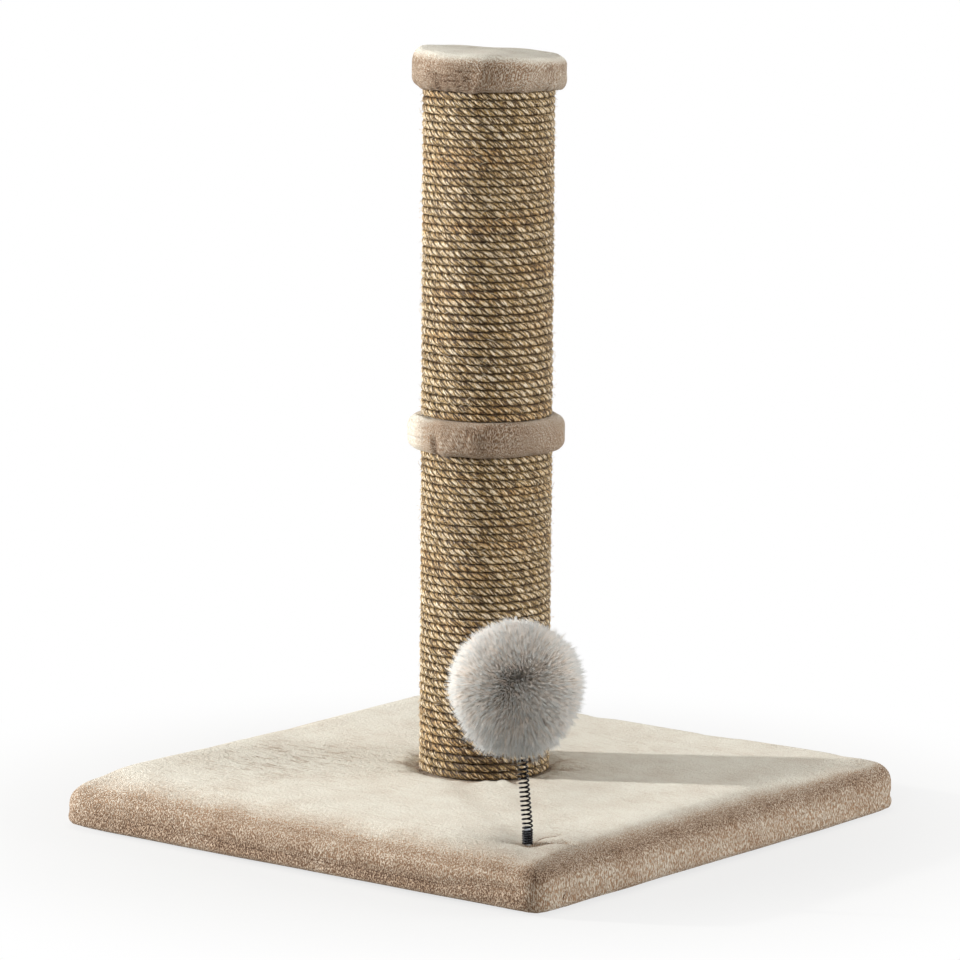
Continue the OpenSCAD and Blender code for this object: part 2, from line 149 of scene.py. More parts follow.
def add(tree, kind, sockets=None, give=0, **settings):
    """Adds a shader node with its settings and gives back one output

    sockets maps an input's name or number to a value or to another node's output
    """
    node = tree.nodes.new("ShaderNode" + kind)
    for name, value in settings.items():
        setattr(node, name, value)
    for key, value in (sockets or {}).items():
        if isinstance(value, bpy.types.NodeSocket):
            tree.links.new(value, node.inputs[key])
        else:
            node.inputs[key].default_value = value
    return node.outputs[give] if node.outputs else None


def seen_directly(tree):
    """1 for rays from the camera and for those mirrored or passed on by a gloss, otherwise 0"""
    seen = [add(tree, "LightPath", give="Is %s Ray" % kind) for kind in ("Camera", "Glossy", "Transmission")]
    either = add(tree, "Math", {0: seen[0], 1: seen[1]}, operation="MAXIMUM")
    return add(tree, "Math", {0: either, 1: seen[2]}, operation="MAXIMUM")


room = bpy.data.worlds.new("pale_room")
bpy.context.scene.world = room
room.use_nodes = True
tree = room.node_tree
tree.nodes.clear()
fill = add(tree, "Background", {"Color": hex_colour("#fff8ec"), "Strength": 0.19})
white = add(tree, "Background", {"Color": hex_colour("#ffffff"), "Strength": 1.0})
add(tree, "OutputWorld", {"Surface": add(tree, "MixShader", {0: seen_directly(tree), 1: fill, 2: white})})

bpy.ops.mesh.primitive_plane_add(size=12, location=(0, 0, -0.0002))
floor = bpy.context.object
floor.name = "floor"
floor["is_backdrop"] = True
paint = bpy.data.materials.new("matt_white_floor")
floor.data.materials.append(paint)
paint.use_nodes = True
tree = paint.node_tree
tree.nodes.clear()
away = add(tree, "VectorMath", {0: add(tree, "TexCoord", give="Object")}, give="Value", operation="LENGTH")
fade = add(tree, "MapRange", {"Value": away, "From Min": 0.20, "From Max": 0.46, "To Min": 0.74,
                              "To Max": 1.0}, interpolation_type="SMOOTHSTEP")
share = add(tree, "Math", {0: fade, 1: seen_directly(tree)}, operation="MULTIPLY")
matt = add(tree, "BsdfDiffuse", {"Color": hex_colour("#cbcbc9")})
bright = add(tree, "Emission", {"Color": hex_colour("#ffffff"), "Strength": 1.0})
add(tree, "OutputMaterial", {"Surface": add(tree, "MixShader", {0: share, 1: matt, 2: bright})})
print("room and floor are ready")

# %% [markdown]
# ## Tools of the trade
# Every operator works on what is selected, and loading leaves the frame's pieces selected. These
# few helpers select one object, pick its faces, edges or vertices by place, give it a finish, and
# read or write its vertices as rows of numbers.

# %% Select and pick
def only(piece):
    """Selects one object and nothing else, in object mode"""
    if bpy.context.mode != "OBJECT":
        bpy.ops.object.mode_set(mode="OBJECT")
    bpy.ops.object.select_all(action="DESELECT")
    piece.select_set(True)
    bpy.context.view_layer.objects.active = piece


def pick(piece, kind, test):
    """In edit mode, selects the faces, edges or vertices that pass a test, and nothing else"""
    only(piece)
    bpy.ops.object.mode_set(mode="EDIT")
    bpy.ops.mesh.select_mode(type=kind)
    bpy.ops.mesh.select_all(action="DESELECT")
    made = bmesh.from_edit_mesh(piece.data)
    parts = {"VERT": made.verts, "EDGE": made.edges, "FACE": made.faces}[kind]
    found = [p for p in parts if test(p)]
    for part in found:
        part.select_set(True)
    made.select_flush_mode()
    bmesh.update_edit_mesh(piece.data)
    return len(found)


def pick_all(piece):
    """In edit mode, selects the whole mesh"""
    only(piece)
    bpy.ops.object.mode_set(mode="EDIT")
    bpy.ops.mesh.select_all(action="SELECT")


def done(piece):
    """Back to object mode, with the place in the mesh"""
    only(piece)
    bpy.ops.object.transform_apply(location=True, rotation=True, scale=True)


def finish_with(piece, kind, **settings):
    """Adds a modifier with its settings and applies it"""
    only(piece)
    modifier = piece.modifiers.new(kind.lower(), kind)
    for name, value in settings.items():
        setattr(modifier, name, value)
    bpy.ops.object.modifier_apply(modifier=modifier.name)


def dress(piece, finish):
    """Smooth shading and one finish"""
    only(piece)
    bpy.ops.object.shade_smooth()
    piece.data.materials.clear()
    piece.data.materials.append(finish)


def points_of(piece):
    """Vertices in millimetres, one row each"""
    rows = np.empty(len(piece.data.vertices) * 3)
    piece.data.vertices.foreach_get("co", rows)
    return rows.reshape(-1, 3) / MM


def move_points(piece, rows):
    """Puts the vertices at rows in millimetres"""
    piece.data.vertices.foreach_set("co", (rows * MM).ravel())
    piece.data.update()


def note(piece, name, values):
    """Stores a number or three for each vertex, under a name that a finish can read"""
    kind, field = ("FLOAT", "value") if values.ndim == 1 else ("FLOAT_VECTOR", "vector")
    layer = piece.data.attributes.new(name, kind, "POINT")
    layer.data.foreach_set(field, values.astype(np.float32).ravel())


def triangles(piece):
    """Number of triangles of one object"""
    return sum(len(p.vertices) - 2 for p in piece.data.polygons)


def ease(values, start, end):
    """0 before start and 1 after end, with a smooth rise between them"""
    t = np.clip((values - start) / (end - start), 0, 1)
    return t * t * (3 - 2 * t)


def bump_at(values, middle, width):
    """Smooth bump of height 1"""
    return np.exp(-((values - middle) / width) ** 2)


def angle_from(turn, middle):
    """Angle of each point from a direction that is given in degrees, from -pi to pi"""
    return np.angle(np.exp(1j * (turn - math.radians(middle))))


def ripple(rows, size, seed, waves=14):
    """Smooth unevenness from -1 to 1 with hollows and humps of about a size in millimetres"""
    rng = np.random.default_rng(seed)
    total = np.zeros(len(rows))
    for _ in range(waves):
        way = rng.normal(size=3)
        way *= 2 * math.pi / (size * rng.uniform(1.4, 3.0)) / np.linalg.norm(way)
        total += np.cos(rows @ way + rng.uniform(0, 2 * math.pi))
    return np.clip(total / math.sqrt(waves), -1.6, 1.6) / 1.6


def way_to_line(rows, line):
    """Distance of each point from a bent line seen from above, in millimetres, negative on its right"""
    best = np.full(len(rows), 1e9)
    for a, b in zip(np.array(line[:-1], float), np.array(line[1:], float)):
        gap = rows[:, :2] - a
        t = np.clip((gap @ (b - a)) / ((b - a) @ (b - a)), 0, 1)
        far = np.linalg.norm(gap - t[:, None] * (b - a), axis=1)
        far *= np.where((b - a)[0] * gap[:, 1] - (b - a)[1] * gap[:, 0] < 0, -1, 1)
        best = np.where(np.abs(far) < np.abs(best), far, best)
    return best


def nearest_crease(creases):
    """Way to the nearest of several creases as 0.5 + way / 40 mm; each is (way, share that is there)"""
    best, value = np.full(len(creases[0][0]), 1e9), np.full(len(creases[0][0]), 1.0)
    for way, there in creases:
        closer = np.abs(way) < best
        reach = np.clip(np.abs(way) + 30 * (1 - there), 0, 20)
        value = np.where(closer, 0.5 + np.where(way < 0, -1, 1) * reach / 40, value)
        best = np.where(closer, np.abs(way), best)
    return value


print("helpers are ready")

# %% [markdown]
# ## Finishes
# ### Short-pile plush
# The covers are a knitted polyester plush with a cut pile of about 3 mm. At a flat angle one sees
# only pale cream tips, which the sheen strengthens. Where the surface faces the eye, or the pile
# parts over an edge or in a fold, one looks down between the tufts and sees the pinkish brown roots.
# Each cover stores how open its pile lies as "open", and "open" turns the colour browner. It is set
# by place, so the pale tops and brown faces are partly a painted sheen, and the darker edges, folds
# and feet partly painted shade. "nap" holds the way that the tufts lie, and "combed" where a hand has
# stroked it. "crease" is the way to the nearest sharp crease, whose dark line is a painted shade finer
# than the mesh. A tuft is 0.3 mm wide; the grain is drawn about twice as coarse, because finer would
# vanish in the picture.

# %% Finish of the plush
def new_finish(name):
    """Empty material and its node tree"""
    made = bpy.data.materials.new(name)
    made.use_nodes = True
    made.node_tree.nodes.clear()
    return made, made.node_tree


def three_tones(tree, share, codes):
    """Colour that runs through three codes while share goes from 0 to 1"""
    first, middle, last = map(hex_colour, codes)
    doubled = add(tree, "Math", {0: share, 1: 2.0}, operation="MULTIPLY")
    lower = add(tree, "Mix", {0: doubled, 6: first, 7: middle}, give=2, data_type="RGBA")
    upper = add(tree, "Math", {0: doubled, 1: 1.0}, operation="SUBTRACT")
    return add(tree, "Mix", {0: upper, 6: lower, 7: last}, give=2, data_type="RGBA")


def plush_finish(name, tuft_length, streak_turn):
    """Creamy where the pile is closed, brown and grainy where it is open, with painted sheen and shade; sizes
    in metres
    """
    tuft_width, stroke_length, stroke_width, ruffle_size = 0.00068, 0.011, 0.0015, 0.0022
    made, tree = new_finish(name)
    place = add(tree, "TexCoord", give="Object")
    nap = add(tree, "Attribute", give="Vector", attribute_name="nap")
    opened = add(tree, "Attribute", give="Fac", attribute_name="open")
    combed = add(tree, "Attribute", give="Fac", attribute_name="combed")
    crease = add(tree, "Attribute", give="Fac", attribute_name="crease")
    tufts = add(tree, "Mapping", {"Vector": nap, "Scale": (1 / tuft_length, 1 / tuft_width, 1 / tuft_width)})
    grain = add(tree, "TexNoise", {"Vector": tufts, "Scale": 1.0, "Detail": 1.0, "Roughness": 0.6,
                                   "Distortion": 0.25}, give="Fac")
    gaps = add(tree, "MapRange", {"Value": grain, "From Min": 0.42, "From Max": 0.57, "To Min": 1.0,
                                  "To Max": 0.0})
    cloudy = add(tree, "TexNoise", {"Vector": place, "Scale": 38.0, "Detail": 2.0}, give="Fac")
    along = add(tree, "Mapping", {"Vector": place, "Rotation": (0, 0, streak_turn),
                                  "Scale": (1 / stroke_length, 1 / stroke_width, 1 / stroke_width)})
    streaks = add(tree, "TexNoise", {"Vector": along, "Scale": 1.0, "Detail": 1.0, "Distortion": 0.4},
                  give="Fac")
    lines = add(tree, "MapRange", {"Value": streaks, "From Min": 0.55, "From Max": 0.66, "To Max": 1.0})
    lines = add(tree, "Math", {0: lines, 1: combed}, operation="MULTIPLY")
    # The colour darkens with "open", which carries painted sheen and painted shade as well as the pile's own
    # opening.
    level = add(tree, "MapRange", {"Value": opened, "To Min": 1.0, "To Max": 0.64})
    level = add(tree, "Math", {0: add(tree, "MapRange", {"Value": cloudy, "From Min": 0.3, "From Max": 0.7,
                                                         "To Min": -0.05, "To Max": 0.05}), 1: level})
    contrast = add(tree, "MapRange", {"Value": opened, "To Min": -0.14, "To Max": -0.52})
    light = add(tree, "Math", {0: gaps, 1: contrast, 2: level}, operation="MULTIPLY_ADD")
    light = add(tree, "Math", {0: lines, 1: -0.30, 2: light}, operation="MULTIPLY_ADD")
    # Painted shade: a thin dark line along each crease.
    from_crease = add(tree, "Math", {0: add(tree, "Math", {0: crease, 1: 0.5}, operation="SUBTRACT")},
                      operation="ABSOLUTE")
    ragged = add(tree, "Math", {0: grain, 1: 0.03, 2: from_crease}, operation="MULTIPLY_ADD")
    shade = add(tree, "MapRange", {"Value": ragged, "From Min": 0.012, "From Max": 0.050, "To Min": 0.75,
                                   "To Max": 0.0}, interpolation_type="SMOOTHSTEP")
    light = add(tree, "Math", {0: light, 1: shade}, operation="SUBTRACT")
    colour = three_tones(tree, light, ("#463128", "#a8896d", "#e9e7dc"))
    depth = add(tree, "MapRange", {"Value": opened, "To Min": 0.45, "To Max": 1.0})
    relief = add(tree, "Bump", {"Height": gaps, "Distance": 0.0007, "Strength": depth}, invert=True)
    relief = add(tree, "Bump", {"Height": lines, "Distance": 0.0010, "Strength": 0.8, "Normal": relief},
                 invert=True)
    ruffle = add(tree, "TexNoise", {"Vector": place, "Scale": 1 / ruffle_size, "Detail": 1.0}, give="Fac")
    relief = add(tree, "Bump", {"Height": ruffle, "Distance": 0.0012, "Strength": 0.6, "Normal": relief})
    shader = add(tree, "BsdfPrincipled", {
        "Base Color": colour, "Roughness": 0.95, "Specular IOR Level": 0.15, "Sheen Weight": 0.18,
        "Sheen Roughness": 0.4, "Sheen Tint": hex_colour("#fffaf0"), "Normal": relief})
    add(tree, "OutputMaterial", {"Surface": shader})
    return made


base_plush = plush_finish("short_pile_plush_base", tuft_length=0.0014, streak_turn=math.radians(-68))
disc_plush = plush_finish("short_pile_plush_discs", tuft_length=0.0018, streak_turn=math.radians(20))
print("plush finishes:", base_plush.name, disc_plush.name)

# %% [markdown]
# ### Sisal rope
# Sisal is a leaf fibre, laid from three strands. Dry fibres are straw-coloured; the palest fibres
# are partly their own pale colour and partly a painted highlight of their glints. The grooves between
# strands are painted brown, a painted shade. Each strand carries its own straightened-out coordinates
# in "strand", so that the fibres run with its lay. "between" is the angle round a strand from its
# outermost line, and turns the seams between strands dark with painted shade. "groove" does so between
# two turns of the rope and on the lowest turns in front, below the ball. Real fibres are 0.2 mm thick
# and are drawn at 0.8 mm, which still shows. Single lengths of the rope are yellower or redder than
# others.

# %% Finish of the rope
def rope_finish():
    """Straw-coloured fibres and clumps of fibres along each strand, with painted shade in the seams and
    between turns; sizes in metres
    """
    fibre_length, fibre_width, clump_length, clump_width = 0.0035, 0.0008, 0.014, 0.0014
    made, tree = new_finish("laid_sisal_rope")
    place = add(tree, "TexCoord", give="Object")
    strand = add(tree, "Attribute", give="Vector", attribute_name="strand")
    groove = add(tree, "Attribute", give="Fac", attribute_name="groove")
    between = add(tree, "Attribute", give="Fac", attribute_name="between")
    thin = add(tree, "Mapping", {"Vector": strand,
                                 "Scale": (1 / fibre_length, 1 / fibre_width, 1 / fibre_width)})
    fibres = add(tree, "TexNoise", {"Vector": thin, "Scale": 1.0, "Detail": 2.0, "Roughness": 0.65},
                 give="Fac")
    thick = add(tree, "Mapping", {"Vector": strand,
                                  "Scale": (1 / clump_length, 1 / clump_width, 1 / clump_width)})
    clumps = add(tree, "TexNoise", {"Vector": thick, "Scale": 1.0, "Detail": 1.0}, give="Fac")
    slow = add(tree, "Mapping", {"Vector": place, "Scale": (16, 16, 90)})
    lengths = add(tree, "TexNoise", {"Vector": slow, "Scale": 1.0, "Detail": 1.0}, give="Fac")
    light = add(tree, "MapRange", {"Value": fibres, "From Min": 0.38, "From Max": 0.60, "To Min": 0.12,
                                   "To Max": 0.92})
    light = add(tree, "Math", {0: add(tree, "MapRange", {"Value": clumps, "From Min": 0.36, "From Max": 0.64,
                                                         "To Min": -0.42, "To Max": 0.42}), 1: light})
    # Painted shade: the seams between strands and the gaps between turns turn dark.
    seams = add(tree, "MapRange", {"Value": between, "From Min": 1.05, "From Max": 1.60, "To Max": 0.95},
                interpolation_type="SMOOTHSTEP")
    light = add(tree, "Math", {0: light, 1: seams}, operation="SUBTRACT")
    light = add(tree, "Math", {0: groove, 1: -0.75, 2: light}, operation="MULTIPLY_ADD")
    # The palest tone is partly the fibres' own colour and partly a painted highlight.
    straw = three_tones(tree, light, ("#462b0b", "#caa767", "#fff2dc"))
    tint = add(tree, "MapRange", {"Value": lengths, "From Min": 0.50, "From Max": 0.68, "To Max": 0.5})
    straw = add(tree, "Mix", {0: tint, 6: straw, 7: hex_colour("#a08a66")}, give=2, data_type="RGBA",
                blend_type="OVERLAY")
    threads = add(tree, "Math", {0: fibres, 1: clumps})
    relief = add(tree, "Bump", {"Height": threads, "Distance": 0.0013, "Strength": 1.0})
    shader = add(tree, "BsdfPrincipled", {
        "Base Color": straw, "Roughness": 0.5, "Specular IOR Level": 0.45, "Sheen Weight": 0.25,
        "Sheen Roughness": 0.35, "Sheen Tint": hex_colour("#fff0d2"), "Normal": relief})
    add(tree, "OutputMaterial", {"Surface": shader})
    return made


sisal = rope_finish()
print("rope finish:", sisal.name)

# %% [markdown]
# ### Faux fur
# The pompom is long-pile acrylic fur. Each hair is beige at its root, nearly white in its middle
# and pale grey at its tip, with a soft sheen. The ball looks even at its outline, where hairs are
# seen from the side, and streaked where one looks down between tufts of them. Each hair stores how
# far a point lies along it as "along", and its own lightness as "tone". The knitted back of the fur
# cloth is beige too.

# %% Finish of the fur
def fur_finish():
    """Soft sheen on hairs that are beige at the root and pale grey at the tip"""
    made, tree = new_finish("acrylic_faux_fur")
    along = add(tree, "Attribute", give="Fac", attribute_name="along")
    tone = add(tree, "Attribute", give="Fac", attribute_name="tone")
    share = add(tree, "MapRange", {"Value": along, "From Min": 0.40, "From Max": 1.0})
    share = add(tree, "Math", {0: share, 1: tone})
    colour = three_tones(tree, share, ("#e8d8c8", "#ebe2d9", "#cfd1cf"))
    shader = add(tree, "BsdfPrincipled", {
        "Base Color": colour, "Roughness": 0.55, "Specular IOR Level": 0.3, "Sheen Weight": 0.6,
        "Sheen Roughness": 0.4})
    add(tree, "OutputMaterial", {"Surface": shader})
    return made


fur = fur_finish()
print("fur finish:", fur.name)

# %% [markdown]
# ### Metals
# The spring is hard-drawn wire, blackened by its heat treatment and slightly oiled: dark, with
# long bright glints. Bolts, washers, nuts, brads and staples are zinc-plated steel, a pale grey with
# a faint blotchy passivation.

# %% Finishes of the metals
def metal_finish(name, dark, light, roughness, blotch):
    """Metal with faint blotches of a size in metres, in colour and in gloss"""
    made, tree = new_finish(name)
    place = add(tree, "TexCoord", give="Object")
    blotches = add(tree, "TexNoise", {"Vector": place, "Scale": 1 / blotch, "Detail": 3.0, "Roughness": 0.6},
                   give="Fac")
    share = add(tree, "MapRange", {"Value": blotches, "From Min": 0.3, "From Max": 0.7})
    colour = add(tree, "Mix", {0: share, 6: hex_colour(dark), 7: hex_colour(light)}, give=2, data_type="RGBA")
    rough = add(tree, "MapRange", {"Value": share, "To Min": roughness * 0.8, "To Max": roughness * 1.25})
    shader = add(tree, "BsdfPrincipled", {"Base Color": colour, "Metallic": 1.0, "Roughness": rough})
    add(tree, "OutputMaterial", {"Surface": shader})
    return made


spring_steel = metal_finish("blackened_spring_steel", "#111012", "#262527", roughness=0.24, blotch=0.002)
zinc_steel = metal_finish("zinc_plated_steel", "#a9adb3", "#c6cad0", roughness=0.34, blotch=0.004)
print("metal finishes:", spring_steel.name, zinc_steel.name)

# %% [markdown]
# ### Boards, card, foam and felt
# These lie inside the covers and are seen only when the post is taken apart, or from below. Each
# still has the grain of the real stuff: chips in the particle board, year rings in the softwood
# plugs, spiral plies on the card tubes, pores in the foam, matted fibres in felt and wadding.

# %% Finishes of the inner pieces
def stuff_finish(name, cell, detail, dark, light, roughness, depth, turn=(0, 0, 0)):
    """Matt material whose pattern has cells of a size in metres along x, y and z"""
    made, tree = new_finish(name)
    place = add(tree, "TexCoord", give="Object")
    cells = add(tree, "Mapping", {"Vector": place, "Rotation": turn, "Scale": [1 / c for c in cell]})
    pattern = add(tree, "TexNoise", {"Vector": cells, "Scale": 1.0, "Detail": detail, "Roughness": 0.6},
                  give="Fac")
    share = add(tree, "MapRange", {"Value": pattern, "From Min": 0.32, "From Max": 0.68})
    colour = add(tree, "Mix", {0: share, 6: hex_colour(dark), 7: hex_colour(light)}, give=2, data_type="RGBA")
    relief = add(tree, "Bump", {"Height": pattern, "Distance": depth, "Strength": 0.5})
    shader = add(tree, "BsdfPrincipled", {"Base Color": colour, "Roughness": roughness,
                                          "Specular IOR Level": 0.25, "Normal": relief})
    add(tree, "OutputMaterial", {"Surface": shader})
    return made


inner_finishes = {
    "particle_board": stuff_finish("raw_particle_board", cell=(0.006, 0.0025, 0.0012), detail=4.0,
                                   dark="#a5804f", light="#dcc193", roughness=0.85, depth=0.0004),
    "plug_wood": stuff_finish("raw_softwood", cell=(0.0022, 0.0022, 0.030), detail=2.0,
                              dark="#c49a62", light="#e8cfa0", roughness=0.7, depth=0.0002),
    "tube_card": stuff_finish("spiral_wound_card", cell=(0.02, 0.02, 0.0015), turn=(0.5, 0, 0), detail=3.0,
                              dark="#a27f58", light="#c4a47a", roughness=0.9, depth=0.0002),
    "foam": stuff_finish("polyurethane_foam", cell=(0.0012, 0.0012, 0.0012), detail=2.0,
                         dark="#dfd3ad", light="#f6efd6", roughness=0.95, depth=0.0006),
    "backing_felt": stuff_finish("needled_felt", cell=(0.003, 0.0008, 0.0008), turn=(0, 0, 0.6), detail=4.0,
                                 dark="#2d2b2a", light="#4f4c49", roughness=0.98, depth=0.0005),
    "polyester_fill": stuff_finish("polyester_wadding", cell=(0.004, 0.0012, 0.0012), turn=(0.4, 0.3, 0.6),
                                   detail=4.0, dark="#d9d6d0", light="#f4f2ee", roughness=0.9,
                                   depth=0.0012),
    "zinc_steel": zinc_steel,
}
for part in frame["record"]["subparts"]:
    finish = inner_finishes.get(part["material_slot"])
    if finish:
        mesh = frame["nodes"][part["node"]].data
        mesh.materials.clear()
        mesh.materials.append(finish)
print("inner finishes:", ", ".join(made.name for made in inner_finishes.values()))

# %% [markdown]
# ## The base's cover
# The real cover is one piece of plush, pulled over foam and board and stapled underneath. It starts
# as a block with round corners and rounded edges, a little smaller than its solid. A cloth
# simulation then swells it, held at its underside, under the post and at the spring, which gives
# the soft pull of real fabric. Folds and dimples are pressed in afterwards.

# %% Block out the base's cover
low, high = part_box("base_cover")
half_base = round(high.x / MM, 3)
slack = 1.2 * MM
corner_r, top_r, foot_r = 15 * MM, 13 * MM, 5 * MM
bpy.ops.mesh.primitive_cube_add(size=1, location=(low + high) / 2,
                                scale=(high - low) - Vector((2, 2, 1)) * slack)
base_cover = bpy.context.object
base_cover.name = "plush_base_cover"
done(base_cover)
top_z = max(v.co.z for v in base_cover.data.vertices)
foot_z = min(v.co.z for v in base_cover.data.vertices)
pick(base_cover, "EDGE", lambda e: abs(e.verts[0].co.z - e.verts[1].co.z) > 0.01)
bpy.ops.mesh.bevel(offset=corner_r, segments=8, affect="EDGES")
pick(base_cover, "EDGE", lambda e: min(v.co.z for v in e.verts) > top_z - 1e-5)
bpy.ops.mesh.bevel(offset=top_r, segments=6, affect="EDGES")
pick(base_cover, "EDGE", lambda e: max(v.co.z for v in e.verts) < foot_z + 1e-5)
bpy.ops.mesh.bevel(offset=foot_r, segments=4, affect="EDGES")
done(base_cover)
base_cover.data.remesh_voxel_size = 0.005
bpy.ops.object.voxel_remesh()
print("blocked out with", len(base_cover.data.vertices), "vertices")

# %% Swell the cover with a cloth simulation
toy_low, toy_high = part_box("spring_screw")
toy_x, toy_y = ((toy_low + toy_high) / 2)[:2]
toy_x, toy_y = toy_x / MM, toy_y / MM


def swell(piece, held, pressure, limit):
    """Cloth under pressure for 20 steps; held vertices stay, and no vertex moves further than limit mm"""
    before = points_of(piece)
    group = piece.vertex_groups.new(name="held")
    group.add([int(i) for i in np.flatnonzero(held)], 1.0, "REPLACE")
    only(piece)
    bpy.ops.object.modifier_add(type="CLOTH")
    cloth = piece.modifiers[-1]
    cloth.settings.quality = 5
    cloth.settings.mass = 0.2
    cloth.settings.tension_stiffness = 60
    cloth.settings.compression_stiffness = 60
    cloth.settings.bending_stiffness = 2
    cloth.settings.vertex_group_mass = "held"
    cloth.settings.use_pressure = True
    cloth.settings.uniform_pressure_force = pressure
    cloth.settings.effector_weights.gravity = 0
    for step in range(1, 21):
        bpy.context.scene.frame_set(step)
    bpy.ops.object.modifier_apply(modifier=cloth.name)
    bpy.context.scene.frame_set(1)
    shift = points_of(piece) - before
    far = np.linalg.norm(shift, axis=1)
    shift *= (limit * np.tanh(far / limit) / np.maximum(far, 1e-9))[:, None]
    move_points(piece, before + shift)
    piece.vertex_groups.clear()
    print(piece.name, "swelled by up to", round(float(far.max()), 2), "mm, kept to", limit)


rows = points_of(base_cover)
from_post = np.hypot(rows[:, 0], rows[:, 1])
from_toy = np.hypot(rows[:, 0] - toy_x, rows[:, 1] - toy_y)
on_top = rows[:, 2] > 30
held = (rows[:, 2] < 3) | (on_top & (from_post < 48)) | (on_top & (from_toy < 6))
swell(base_cover, held, pressure=1.5, limit=1.7)
pick_all(base_cover)
bpy.ops.mesh.subdivide(number_cuts=1, smoothness=0.6)
done(base_cover)
print("now", len(base_cover.data.vertices), "vertices, top at", points_of(base_cover)[:, 2].max().round(2))

# %% [markdown]
# The swollen cover is scaled back to its solid's width, and its top falls off towards the edges,
# most at the two corners in front, where the foam is pulled down. Dimples, folds and pleats are
# pressed in by moving vertices. The post's foot presses the pile down and gathers small wrinkles
# round itself. The spring pulls the fabric in, and a fold runs from it to the edge. On the long
# front side the fabric is caught over the board's lower edge, which leaves a thin crease, drawn dark
# with painted shade, with a narrow roll under it, and three pleats stand near the left corner.

# %% Press in dimples, folds and pleats
rows = points_of(base_cover)
rows[:, :2] *= half_base / np.abs(rows[:, :2]).max(axis=0)
x, y, z = rows.T
from_post = np.hypot(x, y)
from_toy = np.hypot(x - toy_x, y - toy_y)
on_top = ease(z, 24, 31)
turn = np.arctan2(y, x)

from_edge = half_base - np.maximum(np.abs(x), np.abs(y))
from_corner = np.hypot(x + half_base, y + half_base)


def drop(x, y):
    """How far the top lies lower near its edges, and most at the two corners in front"""
    to_edge = half_base - np.maximum(np.abs(x), np.abs(y))
    to_left, to_near = np.hypot(x + half_base, y + half_base), np.hypot(x - half_base, y + half_base)
    return (2.4 * (1 - ease(to_edge, 2, 36)) + 3.0 * (1 - ease(to_left, 10, 66))
            + 1.8 * (1 - ease(to_near, 10, 50)))


z_undented = z.copy()
z -= on_top * 0.7 * (0.5 + 0.5 * ripple(rows, 45, 3)) * ease(from_post, 60, 90) + ease(z, 8, 34) * drop(x, y)

# round the post's foot
at_right, at_left = bump_at(angle_from(turn, 5), 0, 0.9), bump_at(angle_from(turn, -165), 0, 0.7)
gathers = ((9, 0.4), (13, 2.1), (22, 4.0), (31, 1.0))
foot_wrinkles = sum(np.abs(np.cos(k * turn / 2 + p)) - 0.6 for k, p in gathers) / 2
foot_wrinkles *= 0.25 + 1.7 * at_right + 0.9 * at_left
z += on_top * 2.2 * foot_wrinkles * ease(from_post, 43, 48) * (1 - ease(from_post, 50, 70 + 12 * at_right))
z -= on_top * 1.7 * (1 - ease(from_post, 44, 54))
z = np.where((from_post < 44) & (z > 30), np.minimum(z, 34.3), z)

# at the toy, with two folds, and at the left corner
z -= on_top * 1.6 * (1 - ease(from_toy, 4, 28))
tucked = 1.8 * ease(z, 12, 32) * (1 - ease(from_corner, 8, 52))
x, y = x + tucked, y + tucked
fades = on_top * (1 - ease(x, 172, 192))
long_fold = way_to_line(rows, [(162.5, -161.5), (168.5, -152), (179.5, -143), (195, -141)])
short_fold = way_to_line(rows, [(156, -147), (157, -140), (162, -135)])
z -= fades * 2.8 * np.exp(-(long_fold / 2.6) ** 2)
z += on_top * 0.9 * np.exp(-((np.abs(long_fold) - 6) / 3.5) ** 2)
z -= on_top * 1.0 * np.exp(-(short_fold / 2.4) ** 2)

# down the long front side and the right side
front, side = ease(-y, 186, 196), ease(x, 186, 196)
fold_z = 10.6 + 1.4 * ease(-x, 20, 90) + 5.2 * ease(x, 118, 165)
caught = front * ease(x, -170, -95) * (1 - ease(x, 178, 192))
y += caught * (1.7 * bump_at(z, fold_z, 2.4) - 0.6 * bump_at(z, fold_z - 6, 3.0)
               - 0.7 * bump_at(z, fold_z + 10, 6.0))
pleats = sum(np.exp(-((x - at - 0.35 * (z - 13)) / 2.3) ** 2) * bump_at(z, 13, 6)
             for at in (-137, -101, -120))
y += front * 1.5 * pleats
crease = np.exp(-((y + 173 - 0.25 * (z - 10)) / 2.2) ** 2) * bump_at(z, 10, 8)
x += side * (0.6 * ripple(rows, 26, 5) - 1.1 * crease)
y -= front * 0.6 * ripple(rows, 22, 6)

# a shallow hollow low on the other sides, and no dip into the board's edge
lower_press = 1.2 * bump_at(z, 11, 2.5)
x -= side * lower_press * 0.4 * (1 + np.cos(y / 31))
x += ease(-x, 186, 196) * lower_press * (0.6 + 0.4 * np.cos(y / 27))
y -= ease(y, 186, 196) * lower_press * (0.6 + 0.4 * np.cos(x / 33))
z = np.maximum(z, 1.0)
over_board, board_edge = (z > 4.5) & (z < 20.5), 197.9
y = np.where(over_board & (front > 0.5) & (np.abs(x) < 180), np.minimum(y, -board_edge), y)
x = np.where(over_board & (side > 0.5) & (np.abs(y) < 180), np.maximum(x, board_edge), x)
move_points(base_cover, np.stack([x, y, z], 1))
print("base cover spans", rows.min(0).round(1), rows.max(0).round(1))

# %% [markdown]
# What the finish has to know is stored with the vertices. "open" is 0 on the top and near 1 on the
# sides, highest where the pile parts over the right edge and in folds. It darkens the colour, so
# it carries painted sheen and painted shade as well as the pile's own opening. "nap" is the place,
# with the height first, because the tufts hang down the sides. "combed" is high where a hand has
# stroked the top. "crease" follows the caught line, the pleats, the folds and the rim of the post's
# foot, each drawn as a painted shade line.

